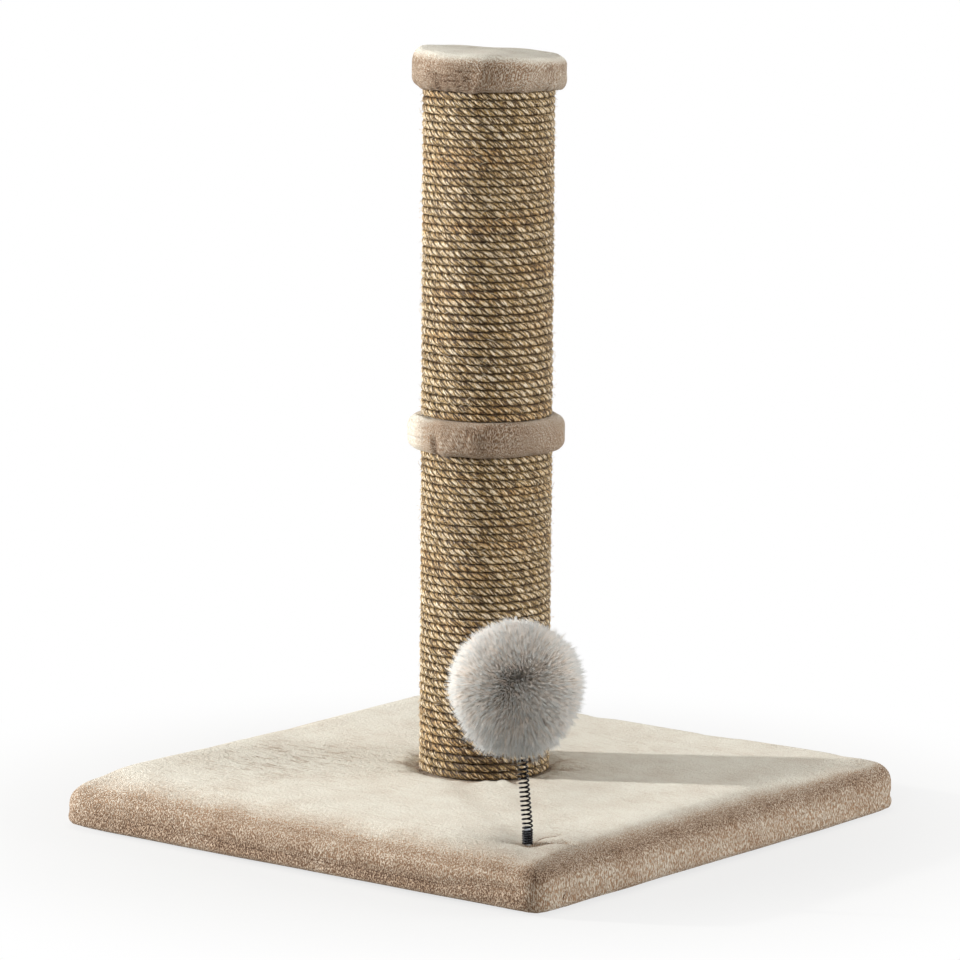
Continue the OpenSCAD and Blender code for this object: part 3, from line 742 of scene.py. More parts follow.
# %% Store how the pile lies
# Browner down the sides and a little near the top's edges: partly the pile's lie, partly a painted sheen of
# the pale top and painted shade where the top rounds off.
down = np.clip((37 - z_undented) / 27, 0, 1) ** 0.8
opened = 0.85 * down + 0.10 * on_top * (1 - ease(from_edge, 2, 30))

# the right side and its edge, then the front side: painted shade on the right side's upper band
# and along the top's right edge, painted light low on the right side, painted shade on the front
# side's middle band, near the top's front edge and low on the front side, and lighter on the roll
# under the crease
opened += side * (0.55 * ease(z, 16, 28) - 0.22 * (1 - ease(z, 12, 20)))
reach_in = ease(y, 40, 160) * 8
opened += 0.45 * on_top * ease(x, 178 + reach_in, 192 + reach_in * 0.5) * (1 - side)
opened += 0.24 * front * ease(z, 14, 20) * (1 - ease(z, 25, 34))
opened += 0.12 * on_top * (1 - ease(y, -196, -150))
opened += 0.16 * front * (1 - ease(z, 12, 22)) * ease(x, -198, -150)
opened -= 0.12 * caught * (1 - ease(z, 4, 7))

# folds, the post's foot, the toy's foot and the left corner: painted shade in the folds, round both
# feet, in the hollows of the wrinkles and on the top round the toy towards the front; low on the left
# side the pile is drawn lighter
opened += 0.55 * fades * np.exp(-(long_fold / 3.0) ** 2) + 0.3 * on_top * np.exp(-(short_fold / 2.5) ** 2)
opened += 0.5 * on_top * (1 - ease(from_post, 43, 49)) + 0.45 * on_top * (1 - ease(from_toy, 4, 14))
opened -= 0.9 * on_top * foot_wrinkles * bump_at(from_post, 52, 8) * (foot_wrinkles < 0)
opened += 0.05 * on_top * (1 - ease(from_toy, 20, 60)) * ease(-y, 120, 175)
opened -= 0.28 * ease(-x, 168, 200) * down * ease(z, 12, 30)
note(base_cover, "open", np.clip(opened + 0.05 * ripple(rows, 18, 15), 0, 1.3))
patch = bump_at(x, -108, 48) * bump_at(y, -72, 52)
wrinkled = bump_at(from_post, 56, 12) * (0.4 + 0.6 * np.maximum(ripple(rows, 30, 16), 0))
note(base_cover, "combed", np.clip(on_top * (0.18 + 0.9 * patch + 0.5 * wrinkled
                                             + 0.15 * np.maximum(ripple(rows, 60, 17), 0)), 0, 1))
note(base_cover, "nap", np.stack([(z - 30) * (1 - 0.4 * side), x, y], 1) * MM)
note(base_cover, "crease", nearest_crease([
    (z - fold_z, caught * (0.80 + 0.20 * ripple(rows, 12, 19))),
    (x + 137 - 0.35 * (z - 13), front * bump_at(z, 13, 7)),
    (x + 101 - 0.35 * (z - 13), front * bump_at(z, 13, 7)),
    (y + 173 - 0.25 * (z - 10), side * bump_at(z, 10, 8)), (long_fold, fades), (short_fold, on_top * 0.97),
    (from_post - 44.5, on_top * (0.85 + 0.15 * ripple(rows, 14, 20)))]))
print("pile open from", opened.min().round(2), "to", opened.max().round(2))

# %% Open the underside and give the plush its thickness
hem = 36 * MM
reach = high.x - hem
pick(base_cover, "FACE", lambda f: f.normal.z < -0.9 and f.calc_center_median().z < 0.003
     and max(abs(f.calc_center_median().x), abs(f.calc_center_median().y)) < reach)
bpy.ops.mesh.delete(type="FACE")
done(base_cover)
finish_with(base_cover, "SOLIDIFY", thickness=1.0 * MM, offset=-1)
dress(base_cover, base_plush)
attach(base_cover, "stand")
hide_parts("base_cover")
print("base cover:", triangles(base_cover), "triangles")

# %% [markdown]
# ## Foam and felt
# Under the plush lies a foam pad, and under the board a sheet of felt hides the stapled hem. The pad
# is a bevelled block, meshed anew in small cells so that its top can fall off as the cover's does,
# with two drilled holes. The felt is cut from a grid, so that its staples can press small dents into
# it; its corners are pulled round by moving vertices.

# %% Cut the foam pad
foam_corner_r, foam_edge_r = 0.0260, 0.0086
bolt_hole_r, screw_hole_r = 0.0045, 0.0023
low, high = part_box("base_foam")
bpy.ops.mesh.primitive_cube_add(size=1, location=(low + high) / 2, scale=high - low)
foam = bpy.context.object
foam.name = "foam_pad"
pick(foam, "FACE", lambda f: f.normal.z > 0.9)
bpy.ops.transform.translate(value=(0, 0, -3.6 * MM))
done(foam)
pick(foam, "EDGE", lambda e: abs(e.verts[0].co.z - e.verts[1].co.z) > 0.005)
bpy.ops.mesh.bevel(offset=foam_corner_r, segments=8, affect="EDGES")
pick(foam, "EDGE", lambda e: min(v.co.z for v in e.verts) > high.z - 0.004)
bpy.ops.mesh.bevel(offset=foam_edge_r, segments=6, affect="EDGES")
done(foam)
foam.data.remesh_voxel_size = 0.004
bpy.ops.object.voxel_remesh()
rows = points_of(foam)
foam_top = rows[:, 2].max()
rows[:, 2] -= drop(rows[:, 0], rows[:, 1]) * (rows[:, 2] - low.z / MM) / (foam_top - low.z / MM)
move_points(foam, rows)


def drill(piece, radius, start, end):
    """Cuts a round hole from one point to another"""
    way = end - start
    bpy.ops.mesh.primitive_cylinder_add(vertices=32, radius=radius, depth=way.length,
                                        location=(start + end) / 2,
                                        rotation=way.to_track_quat("Z", "Y").to_euler())
    bit = bpy.context.object
    finish_with(piece, "BOOLEAN", operation="DIFFERENCE", object=bit)
    bpy.data.objects.remove(bit)


for at_x, at_y, radius in ((0, 0, bolt_hole_r), (toy_x * MM, toy_y * MM, screw_hole_r)):
    drill(foam, radius, Vector((at_x, at_y, low.z - 0.005)), Vector((at_x, at_y, high.z + 0.005)))
foam.data.materials.clear()
foam.data.materials.append(inner_finishes["foam"])
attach(foam, "stand")
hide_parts("base_foam")
print("foam pad:", triangles(foam), "triangles")

# %% Lay the felt
low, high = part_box("base_backing")
half = high.x / MM
bpy.ops.mesh.primitive_grid_add(x_subdivisions=110, y_subdivisions=110, size=high.x - low.x,
                                location=(0, 0, high.z - 0.1 * MM))
felt = bpy.context.object
felt.name = "felt_backing"
done(felt)
rows = points_of(felt)
corner_r = 15
past = np.maximum(np.abs(rows[:, :2]) - (half - corner_r), 0)
far = np.maximum(np.linalg.norm(past, axis=1), 1e-9)
pulled = np.minimum(1, corner_r / far)[:, None]
in_corner = (past.min(1) > 0)[:, None]
rows[:, :2] = np.where(in_corner, np.sign(rows[:, :2]) * (half - corner_r + past * pulled), rows[:, :2])
crowns = [v.co / MM for v in frame["nodes"]["backing_staples"].data.vertices if v.co.z < 0.9 * MM]
finder = KDTree(len(crowns))
for i, crown in enumerate(crowns):
    finder.insert((crown.x, crown.y, 0), i)
finder.balance()
from_crown = np.array([finder.find((r[0], r[1], 0))[2] for r in rows])
rows[:, 2] += 0.9 * (1 - ease(from_crown, 1.2, 5.0)) - 0.12 * (0.5 + 0.5 * ripple(rows, 30, 18))
move_points(felt, rows)
finish_with(felt, "SOLIDIFY", thickness=0.8 * MM, offset=-1)
felt.data.materials.append(inner_finishes["backing_felt"])
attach(felt, "stand")
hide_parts("base_backing")
print("felt:", triangles(felt), "triangles, lowest point", points_of(felt)[:, 2].min().round(2))

# %% [markdown]
# ## The disc's cover and the cap
# Each is plush round a wooden disc, lapped onto the disc's faces, so each starts as a cylinder whose
# rims are bevelled. The ring's faces are inset and opened in the middle, where the stud passes;
# the cap stays closed on top. The plush then gets its thickness and soft dents. The ring's strip
# ends in an overlapping seam on the front left.

# %% Model the two disc covers
def disc_cover(name, node, closed_top, rim):
    """Cylinder with rims rounded by rim metres, faces in rings, and a hole where the plush ends"""
    hole_r, pole_r = 28.5 * MM, 3 * MM
    low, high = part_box(node)
    radius, height = high.x, high.z - low.z
    bpy.ops.mesh.primitive_cylinder_add(vertices=144, radius=radius, depth=height,
                                        location=(0, 0, (low.z + high.z) / 2))
    piece = bpy.context.object
    piece.name = name
    done(piece)
    for end in (low.z, high.z):
        pick(piece, "EDGE", lambda e: all(abs(v.co.z - end) < 1e-5 and v.co.xy.length > radius - 1e-4
                                          for v in e.verts))
        bpy.ops.mesh.bevel(offset=rim, segments=8, affect="EDGES")
    for end, closed in ((low.z, False), (high.z, closed_top)):
        pick(piece, "FACE", lambda f: abs(f.calc_center_median().z - end) < 1e-4 and len(f.verts) > 4)
        steps = 12 if closed else 5
        for _ in range(steps):
            bpy.ops.mesh.inset(thickness=(radius - rim - (pole_r if closed else hole_r)) / steps)
        if closed:
            bpy.ops.mesh.poke()
        else:
            bpy.ops.mesh.delete(type="FACE")
    pick(piece, "FACE", lambda f: abs(f.normal.z) < 0.02)
    bpy.ops.mesh.subdivide(number_cuts=3)
    done(piece)
    finish_with(piece, "SUBSURF", levels=1, render_levels=1)
    return piece


ring = disc_cover("plush_ring", "mid_disc_cover", closed_top=False, rim=0.0070)
cap = disc_cover("plush_cap", "cap_cover", closed_top=True, rim=0.0072)
print("ring and cap:", len(ring.data.vertices), len(cap.data.vertices), "vertices")

# %% [markdown]
# The strip round the ring is longer than the way round, so its end lies on its own beginning: to the
# left of the seam the plush bulges behind it, and a slot parts the two, darkened with painted
# shade. The cap is one puffy piece, fuller on its left, with small gathers and a short lap under its
# edge.

# %% Dent, pleat and seam them
ROPE_EDGE = (43.8, 47.5)


def rim_waves(turn, parts):
    """Sum of waves round the rim, each as (waves in one round, height in millimetres, phase)"""
    return sum(h * np.cos(k * turn + p) for k, h, p in parts)


def shape_rim(piece, node, outward, lower_edge, upper_edge):
    """Moves the rim in and out and its edges up and down; inside the rope's radius only the top moves"""
    low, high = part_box(node)
    middle = (low.z + high.z) / 2 / MM
    rows = points_of(piece)
    x, y, z = rows.T
    radius, turn = np.hypot(x, y), np.arctan2(y, x)
    free = ease(radius, *ROPE_EDGE)
    rise = (z - middle) / ((high.z - low.z) / 2 / MM)
    push = free * outward(turn, rise) + 0.35 * free * ripple(rows, 9, 31)
    x, y = x * (1 + push / radius), y * (1 + push / radius)
    z = z + free * lower_edge(turn) * ease(-rise, 0.1, 0.9) + upper_edge(turn, radius) * ease(rise, 0.1, 0.9)
    move_points(piece, np.stack([x, y, z], 1))
    return turn, rise


SEAM, TO_CAMERA = -91, -52


def past_seam(turn):
    """Angle past the seam, from -pi to pi"""
    return angle_from(turn, SEAM)


def ring_push(turn, rise):
    """Outward shift of the ring's rim: soft waves, the step and slot of the seam, a bulge beside it"""
    away = past_seam(turn)
    step = 1.1 * ease(away, -0.06, 0.10) * (1 - ease(away, 0.35, 1.3))
    slot = 2.0 * bump_at(away, -0.045, 0.05) * ease(-rise, -0.5, 0.3)
    bulge = 0.8 * bump_at(away, -0.45, 0.28)
    soft = rim_waves(turn, ((3, 0.3, 1.0), (5, 0.3, 4.0), (9, 0.2, 2.0), (14, 0.12, 0.5)))
    return -0.3 + soft + step + bulge - slot


def cap_push(turn, rise):
    """Outward shift of the cap's rim, with gathers and a lap in its lower half"""
    gathers = rim_waves(turn, ((13, 0.28, 0.3), (19, 0.26, 2.2), (29, 0.20, 5.0)))
    lap = 1.2 * bump_at(past_seam(turn), -0.04, 0.07) * ease(-rise, -0.5, 0.4)
    return -0.2 + rim_waves(turn, ((2, 0.4, 0.6), (5, 0.35, 3.1))) + gathers * ease(-rise, -0.4, 0.9) - lap


def cap_top(turn, radius):
    """Crown of the cap, higher on the picture's left"""
    lean_left = 0.9 - 2.3 * np.cos(turn - math.radians(38)) * ease(radius, 0, 46)
    waves = 0.4 * rim_waves(turn, ((3, 1, 2.4), (7, 0.6, 0.2))) * ease(radius, 20, 44)
    return lean_left + 1.2 * (1 - (radius / 51) ** 2) + waves


ring_turn, ring_rise = shape_rim(
    ring, "mid_disc_cover", ring_push,
    lambda t: rim_waves(t, ((3, 0.5, 0.2), (7, 0.35, 1.7), (12, 0.25, 3.0), (23, 0.15, 1.0))),
    lambda t, r: ease(r, *ROPE_EDGE) * (rim_waves(t, ((4, 0.5, 2.2), (9, 0.3, 0.7), (17, 0.2, 2.0)))
                                        + 1.0 * bump_at(past_seam(t), -0.5, 0.35)))
cap_turn, cap_rise = shape_rim(
    cap, "cap_cover", cap_push,
    lambda t: -0.4 + rim_waves(t, ((3, 0.5, 1.2), (8, 0.5, 0.1), (15, 0.5, 2.0), (26, 0.45, 0.7),
                                   (41, 0.3, 3.0))),
    cap_top)


# %% Store how their pile lies
def comb_round(piece, turn, rise, opened, seed):
    """Nap coordinates round a rim: tufts fan out from the picture's middle, with small swirls"""
    rim_r = 52
    rows = points_of(piece)
    radius = np.hypot(rows[:, 0], rows[:, 1])
    across = rim_r * angle_from(turn, TO_CAMERA)
    height = rows[:, 2] + (50 - radius) * np.sign(rise) - rows[:, 2].mean()
    fan = 70 * np.tanh(across / 70)
    swirl = 7 * np.stack([ripple(rows, 20, seed + k) for k in (2, 3)])
    along = height + 0.010 * fan ** 2 + swirl[0]
    sideways = 1.25 * (across - 0.02 * fan * height + swirl[1])
    note(piece, "nap", np.stack([along, sideways, radius * 0], 1) * MM)
    note(piece, "open", np.clip(opened, 0, 1.2))
    note(piece, "combed", 0.15 + 0.6 * np.maximum(ripple(rows, 20, seed + 1), 0))


# The ring's pile is drawn browner where it faces the camera and in the seam's slot, painted shade, and paler
# on the bulge beside the seam and on its top, painted sheen.
away = past_seam(ring_turn)
facing = bump_at(angle_from(ring_turn, TO_CAMERA), 0, 1.0)
comb_round(ring, ring_turn, ring_rise,
           0.50 + 0.40 * facing + 0.4 * bump_at(away, -0.045, 0.05) * ease(-ring_rise, -0.5, 0.3)
           - 0.40 * bump_at(away, -0.5, 0.35) - 0.20 * ease(ring_rise, 0.7, 1.0), seed=40)
# The cap's pile is drawn browner where it faces the camera and under the lap, painted shade, and on its left,
# where the lamp is strongest, it is painted darker; its top is pale, a painted sheen.
facing = bump_at(angle_from(cap_turn, -60), 0, 0.9)
lap = bump_at(past_seam(cap_turn), -0.04, 0.08) * ease(-cap_rise, -0.5, 0.4)
left = bump_at(angle_from(cap_turn, -135), 0, 0.6)
cap_open_and_shade = 0.46 + 0.36 * facing + 0.4 * lap + 0.25 * left + 0.20 * np.maximum(ripple(points_of(cap), 9, 9), 0)
comb_round(cap, cap_turn, cap_rise, cap_open_and_shade * (1 - ease(cap_rise, 0.45, 0.98)), seed=50)
for piece, node in ((ring, "mid_disc_cover"), (cap, "cap_cover")):
    finish_with(piece, "SOLIDIFY", thickness=1.2 * MM, offset=-1)
    dress(piece, disc_plush)
    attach(piece, "stand")
    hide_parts(node)
    print(piece.name, triangles(piece), "triangles")

# %% [markdown]
# ## The rope
# Each section carries 41 turns of 5.4 mm rope, about ten metres. The rope is first laid straight:
# three round strands are screwed round one axis, with one twist in 19 mm. They are bulged until
# they meet along seams, and pressed nearly square, because the turns are knocked tight. While the
# rope is straight, each vertex notes where it lies on its strand. Then a curve modifier winds the
# whole length onto the tube.

# %% Lay three strands into a straight rope
rope_d, lay = 5.4, 19.3
strand_d, strand_out = 3.3, 1.15
TURNS = 41
section_low, section_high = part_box("rope_lower")
post_r = section_high.x / MM
wound_r = post_r + 0.45 - strand_d / 2 - strand_out
rope_pitch = ((section_high.z - section_low.z) / MM - rope_d) / (TURNS - 1)
LAST = TURNS - 0.1
rope_length = LAST * 2 * math.pi * wound_r
print("turns", TURNS, "pitch", round(rope_pitch, 3), "rope", round(rope_length / 1000, 2), "m")


def straight_rope(name):
    """Three strands screwed round the X axis, with each vertex's place on its own strand in millimetres"""
    bpy.ops.object.select_all(action="DESELECT")
    rings = []
    for k in range(3):
        at, out = k * 2 * math.pi / 3, strand_out * MM
        bpy.ops.mesh.primitive_circle_add(vertices=8, radius=strand_d / 2 * MM, rotation=(0, math.pi / 2, 0),
                                          location=(0, out * math.cos(at), out * math.sin(at)))
        rings.append(bpy.context.object)
    for made in rings:
        made.select_set(True)
    bpy.ops.object.join()
    rope = bpy.context.object
    rope.name = name
    bpy.ops.object.transform_apply(location=True, rotation=True, scale=True)
    finish_with(rope, "SCREW", axis="X", angle=2 * math.pi, screw_offset=lay * MM,
                iterations=math.floor(rope_length / lay), steps=7, render_steps=7)
    pick_all(rope)
    bpy.ops.mesh.fill_holes(sides=0)
    bpy.ops.mesh.normals_make_consistent(inside=False)
    done(rope)
    rows = points_of(rope)
    twist = 2 * math.pi * rows[:, 0] / lay
    flat = (rows[:, 1] + 1j * rows[:, 2]) * np.exp(-1j * twist)
    strand = np.round(np.angle(flat) / (2 * math.pi / 3))
    around = flat - strand_out * np.exp(2j * math.pi / 3 * strand)
    return rope, rows, strand, around


# %% [markdown]
# The winding path is a poly curve with 96 points a turn. Its first and last turns lie flat against the
# discs and step up by one pitch in a short bend on the side away from the toy; towards the middle
# the bend spreads out over the whole turn. The path is slightly uneven, because rope is wound by
# hand, the strands swell and shrink a little, and single turns differ in tone.

# %% Wind the rope onto the tube
BACK = math.radians(128)
STEPS_A_TURN = 96


def path_through(name, line):
    """Curve through the points of a line in millimetres"""
    curve = bpy.data.curves.new(name, "CURVE")
    curve.dimensions = "3D"
    spline = curve.splines.new("POLY")
    spline.points.add(len(line) - 1)
    spline.points.foreach_set("co", np.hstack([line * MM, np.ones((len(line), 1))]).ravel())
    path = bpy.data.objects.new(name, curve)
    bpy.context.scene.collection.objects.link(path)
    return path


def wound_line(z_start, seed):
    """Middle line of the wound rope in millimetres"""
    steps = np.arange(0, math.ceil(LAST * STEPS_A_TURN) + 1) / STEPS_A_TURN
    whole = np.floor(steps)
    share = steps - whole
    jogged = 1 - ease(steps, 0, 18) * (1 - ease(steps, TURNS - 18, TURNS))
    climbed = whole + (1 - jogged) * share + jogged * ease(share, 0.88, 1.0)
    at = BACK + 2 * math.pi * steps
    line = np.stack([wound_r * np.cos(at), wound_r * np.sin(at), z_start + rope_pitch * climbed], 1)
    line[:, :2] *= (1 + 0.25 * ripple(line * (1, 1, 6), 60, seed) / wound_r)[:, None]
    line[:, 2] += 0.22 * ripple(line * (1, 1, 6), 70, seed + 1)
    return line


def wound_rope(name, node, seed):
    """Bulges, squares and winds one rope, with painted shade on the lowest turns, and gives back its middle
    line
    """
    rope, rows, strand, around = straight_rope(name)
    line = wound_line(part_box(node)[0].z / MM + rope_d / 2, seed)
    turns = rows[:, 0] / (2 * math.pi * wound_r)
    # Painted shade on the lowest turns of the lower section that face the camera, below the ball.
    facing = bump_at(angle_from(BACK + 2 * math.pi * turns, -50), 0, 0.9)
    painted_low_shade = 0.35 * (1 - ease(turns, 2.5, 7)) * facing * (node == "rope_lower")
    fuller = 1 + 0.06 * ripple(np.stack([rows[:, 0], strand * 500, strand * 0], 1), 14, seed)
    twist = np.exp(2j * math.pi * rows[:, 0] / lay)
    moved = (strand_out * np.exp(2j * math.pi / 3 * strand) + around * fuller) * twist
    thick = np.maximum(np.abs(moved), 1e-9)
    inner_part, outermost = 1.3, strand_out + strand_d / 2
    moved *= np.where(thick > inner_part, 1 + 0.35 * (outermost - thick) / thick, 1)
    side, rise = np.abs(moved.real) / np.abs(moved), np.abs(moved.imag) / np.abs(moved)
    squared = moved * (side ** 4 + rise ** 4) ** -0.25
    half_high = 2.58
    flattened = np.clip(squared.imag * 0.92, -half_high, half_high)
    pushed = np.stack([rows[:, 0], squared.real * 0.97, flattened], 1)
    # Painted shade where two turns meet, stored in "groove".
    turn_gap = ease(np.abs(pushed[:, 2]), 1.95, 2.50)
    move_points(rope, pushed)
    yarn_lay = 16
    yarn = around * np.exp(-2j * math.pi * rows[:, 0] / yarn_lay)
    note(rope, "strand", np.stack([rows[:, 0] + 700 * strand, yarn.real + 9 * strand, yarn.imag], 1) * MM)
    note(rope, "between", np.abs(np.angle(around * np.exp(-2j * math.pi / 3 * strand))))
    note(rope, "groove", 0.9 * turn_gap + painted_low_shade)
    path = path_through(name + "_path", line)
    path.data.twist_mode = "Z_UP"
    finish_with(rope, "CURVE", object=path, deform_axis="POS_X")
    bpy.data.objects.remove(path)
    dress(rope, sisal)
    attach(rope, "stand")
    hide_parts(node)
    return line


lines = {"rope_lower": wound_rope("rope_lower_wound", "rope_lower", seed=21),
         "rope_upper": wound_rope("rope_upper_wound", "rope_upper", seed=34)}
for node in lines:
    rope = bpy.data.objects[node + "_wound"]
    radius, height = np.hypot(*points_of(rope)[:, :2].T), points_of(rope)[:, 2]
    print(rope.name, triangles(rope), "triangles, radius", radius.min().round(2), radius.max().round(2),
          "height", height.min().round(2), height.max().round(2))

# %% [markdown]
# ## One hair for rope and fur
# Loose fibres stand off the rope, and the pompom is nothing but hairs. Both come from one hair,
# modelled from a three-sided cone: thin at its root, fullest below its tip. It is copied with its own
# length, thickness and bow for each hair; with seven vertices a hair, ten thousands stay light.

# %% Model one hair
bpy.ops.mesh.primitive_cone_add(vertices=3, radius1=1, radius2=0, depth=1, location=(0, 0, 0.5))
hair = bpy.context.object
hair.name = "one_hair"
done(hair)
pick(hair, "EDGE", lambda e: abs(e.verts[0].co.z - e.verts[1].co.z) > 0.5)
bpy.ops.mesh.subdivide(number_cuts=1)
pick(hair, "VERT", lambda v: 0.3 < v.co.z < 0.7)
bpy.ops.transform.resize(value=(2, 2, 1), center_override=(0, 0, 0))
bpy.ops.transform.translate(value=(0, 0, 0.20))
pick(hair, "VERT", lambda v: v.co.z < 0.1)
bpy.ops.transform.resize(value=(0.6, 0.6, 1), center_override=(0, 0, 0))
done(hair)
finish_with(hair, "TRIANGULATE")
hair_rows = points_of(hair) * MM
hair_faces = np.array([list(p.vertices) for p in hair.data.polygons])
bpy.data.objects.remove(hair)
print("one hair:", len(hair_rows), "vertices,", len(hair_faces), "triangles")


# %% Copy it many times
def unit(rows):
    """Rows scaled to length 1"""
    return rows / np.linalg.norm(rows, axis=1)[:, None]


def hairs(name, roots, ends, bow, thick, rng):
    """One mesh of a hair from each root to its end, in millimetres, bowed out by bow in the middle"""
    along = ends - roots
    side = unit(np.cross(along, rng.normal(size=along.shape)))
    across = unit(np.cross(along, side))
    height = hair_rows[:, 2]
    belly = 4 * height * (1 - height)
    rows = (roots[:, None] + along[:, None] * height[None, :, None] + bow[:, None] * belly[None, :, None]
            + side[:, None] * (hair_rows[None, :, 0] * thick[:, None])[:, :, None]
            + across[:, None] * (hair_rows[None, :, 1] * thick[:, None])[:, :, None])
    faces = (hair_faces[None] + (np.arange(len(roots)) * len(hair_rows))[:, None, None]).reshape(-1, 3)
    mesh = bpy.data.meshes.new(name)
    mesh.from_pydata((rows.reshape(-1, 3) * MM).tolist(), [], faces.tolist())
    piece = bpy.data.objects.new(name, mesh)
    bpy.context.scene.collection.objects.link(piece)
    mesh.shade_smooth()
    print(name, len(roots), "hairs,", triangles(piece), "triangles")
    return piece, rows


# %% [markdown]
# Sisal is a stiff, scratchy fibre, and a wound rope is hairy. The loose fibres start on the turns'
# outer faces, run mostly along the rope and lift off at a low angle. A staple holds each cut end at
# the back.

# %% Grow loose fibres on the rope
def loose_fibres(node, count, seed):
    """Thin fibres that lift off the turns of one section"""
    skin_r = 2.62
    rng = np.random.default_rng(seed)
    line = lines[node]
    at = rng.integers(4, len(line) - 4, count)
    outward = unit(line[at] * (1, 1, 0))
    ahead = unit(line[at + 2] - line[at - 2]) * np.where(rng.random(count) < 0.5, 1, -1)[:, None]
    shift = rng.uniform(-2.2, 2.2, count)
    out = np.sqrt(skin_r ** 2 - shift ** 2)
    roots = line[at] + outward * (out - 0.1)[:, None] + shift[:, None] * np.array([0, 0, 1])
    way = unit(ahead + outward * rng.uniform(0.02, 0.40, count)[:, None]
               + np.array([0, 0, 1]) * rng.normal(0, 0.5, count)[:, None])
    ends = roots + way * rng.uniform(2.5, 8.0, count)[:, None]
    from_axis = np.hypot(ends[:, 0], ends[:, 1])
    ends[:, :2] *= np.maximum(1, (wound_r + 2.75) / from_axis)[:, None]
    bow = outward * rng.uniform(0.2, 0.9, count)[:, None]
    low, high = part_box(node)
    keep = (ends[:, 2] > low.z / MM + 1) & (ends[:, 2] < high.z / MM - 1)
    thick = rng.uniform(0.09, 0.15, keep.sum())
    piece, rows = hairs(node + "_fibres", roots[keep], ends[keep], bow[keep], thick, rng)
    points = rows.reshape(-1, 3)
    note(piece, "strand", np.stack([points[:, 2], points[:, 0] * 0, points[:, 1]], 1) * MM)
    note(piece, "groove", np.repeat(rng.uniform(-1.0, 0.3, keep.sum()), len(hair_rows)))
    piece.data.materials.append(sisal)
    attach(piece, "stand")
    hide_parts(node)


loose_fibres("rope_lower", count=1500, seed=61)
loose_fibres("rope_upper", count=1500, seed=62)

# %% Staple the rope's ends
staple_wide, staple_thick, staple_tall, staple_leg = 0.0012, 0.0006, 0.0068, 0.006
for node, line in lines.items():
    for k, end in enumerate((line[14], line[-8])):
        out = Vector((end[0], end[1], 0)).normalized()
        bpy.ops.mesh.primitive_cube_add(size=1, location=(0, 0, 0),
                                        scale=(staple_wide, staple_thick, staple_tall))
        staple = bpy.context.object
        staple.name = "%s_staple_%d" % (node, k + 1)
        done(staple)
        pick(staple, "FACE", lambda f: abs(f.normal.z) > 0.9)
        bpy.ops.mesh.extrude_region_move(TRANSFORM_OT_translate={"value": (0, 0, 0)})
        bpy.ops.transform.resize(value=(1, 1, 1.17), center_override=(0, 0, 0))
        pick(staple, "FACE",
             lambda f: f.normal.y > 0.9 and abs(f.calc_center_median().z) > staple_tall / 2)
        bpy.ops.mesh.extrude_region_move(TRANSFORM_OT_translate={"value": (0, staple_leg, 0)})
        done(staple)
        finish_with(staple, "BEVEL", width=0.0002, segments=2)
        staple.location = (out * (wound_r + 2.95) + Vector((0, 0, end[2]))) * MM
        staple.rotation_euler = (0, 0, math.atan2(out.y, out.x) + math.pi / 2)
        done(staple)
        staple.data.materials.append(zinc_steel)
        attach(staple, "stand")
print("four rope staples")

# %% [markdown]
# ## The toy's axis
# Spring and pompom lean a little to the left. The spring stands upright over its screw up to the
# screw's tip, and from there on everything follows one leaning line to the middle of the ball.

# %% Work out the leaning line
ball_low, ball_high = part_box("pompom_fur")
ball = np.array((ball_low + ball_high) / 2) / MM
ball_r = (ball_high.x - ball_low.x) / 2 / MM
knee = np.array([toy_x, toy_y, toy_high.z / MM])
lean = (ball - knee) / np.linalg.norm(ball - knee)
lean_angle = math.acos(lean[2])
lean_axis = np.cross([0, 0, 1], lean) / math.sin(lean_angle)


def leaned(rows):
    """Turns upright points over the toy's foot onto the leaning line; below its foot they stay"""
    bend = lean_angle * np.clip((rows[:, 2] - knee[2]) / 6, 0, 1)[:, None]
    q = rows - knee
    along = (q @ lean_axis)[:, None] * lean_axis
    return knee + along * (1 - np.cos(bend)) + q * np.cos(bend) + np.cross(lean_axis, q) * np.sin(bend)


print("ball at", ball.round(2), "radius", round(ball_r, 2), "lean", round(math.degrees(lean_angle), 2))

# %% [markdown]
# ## The spring
# It is one wire: closed turns grip the screw, and open turns carry the ball. The wire's middle
# line is a curve with a round bevel, made a mesh at the end. Two hinges stand for its bending, so it
# is made as two halves.

# %% Coil the spring
spring_low, spring_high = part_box("toy_spring")
wire_d, coil_d = 1.15, 7.0
closed_pitch, open_pitch = wire_d + 0.33, 2.85
closed_turns = math.floor((knee[2] - spring_low.z / MM - wire_d) / closed_pitch)
middle_height = 22.5
POINTS_A_TURN = 28


def coil_line():
    """Middle line of the wire from foot to top, in millimetres"""
    rise, line = 0.0, []
    z_foot = spring_low.z / MM - 1.3 + wire_d / 2
    z_top = toy_top_z - wire_d / 2
    i = 0
    while z_foot + rise < z_top:
        at = math.radians(30) + 2 * math.pi * i / POINTS_A_TURN
        r = (coil_d - wire_d) / 2
        line.append((toy_x + r * math.cos(at), toy_y + r * math.sin(at), z_foot + rise))
        opened = float(ease(np.array(i / POINTS_A_TURN), closed_turns - 0.6, closed_turns + 0.6))
        rise += (closed_pitch + (open_pitch - closed_pitch) * opened) / POINTS_A_TURN
        i += 1
    return np.array(line)


toy_top_z = knee[2] + (spring_high.z / MM - knee[2]) / math.cos(lean_angle) - 0.5
wire = leaned(coil_line())
height_on_axis = (wire - knee) @ lean


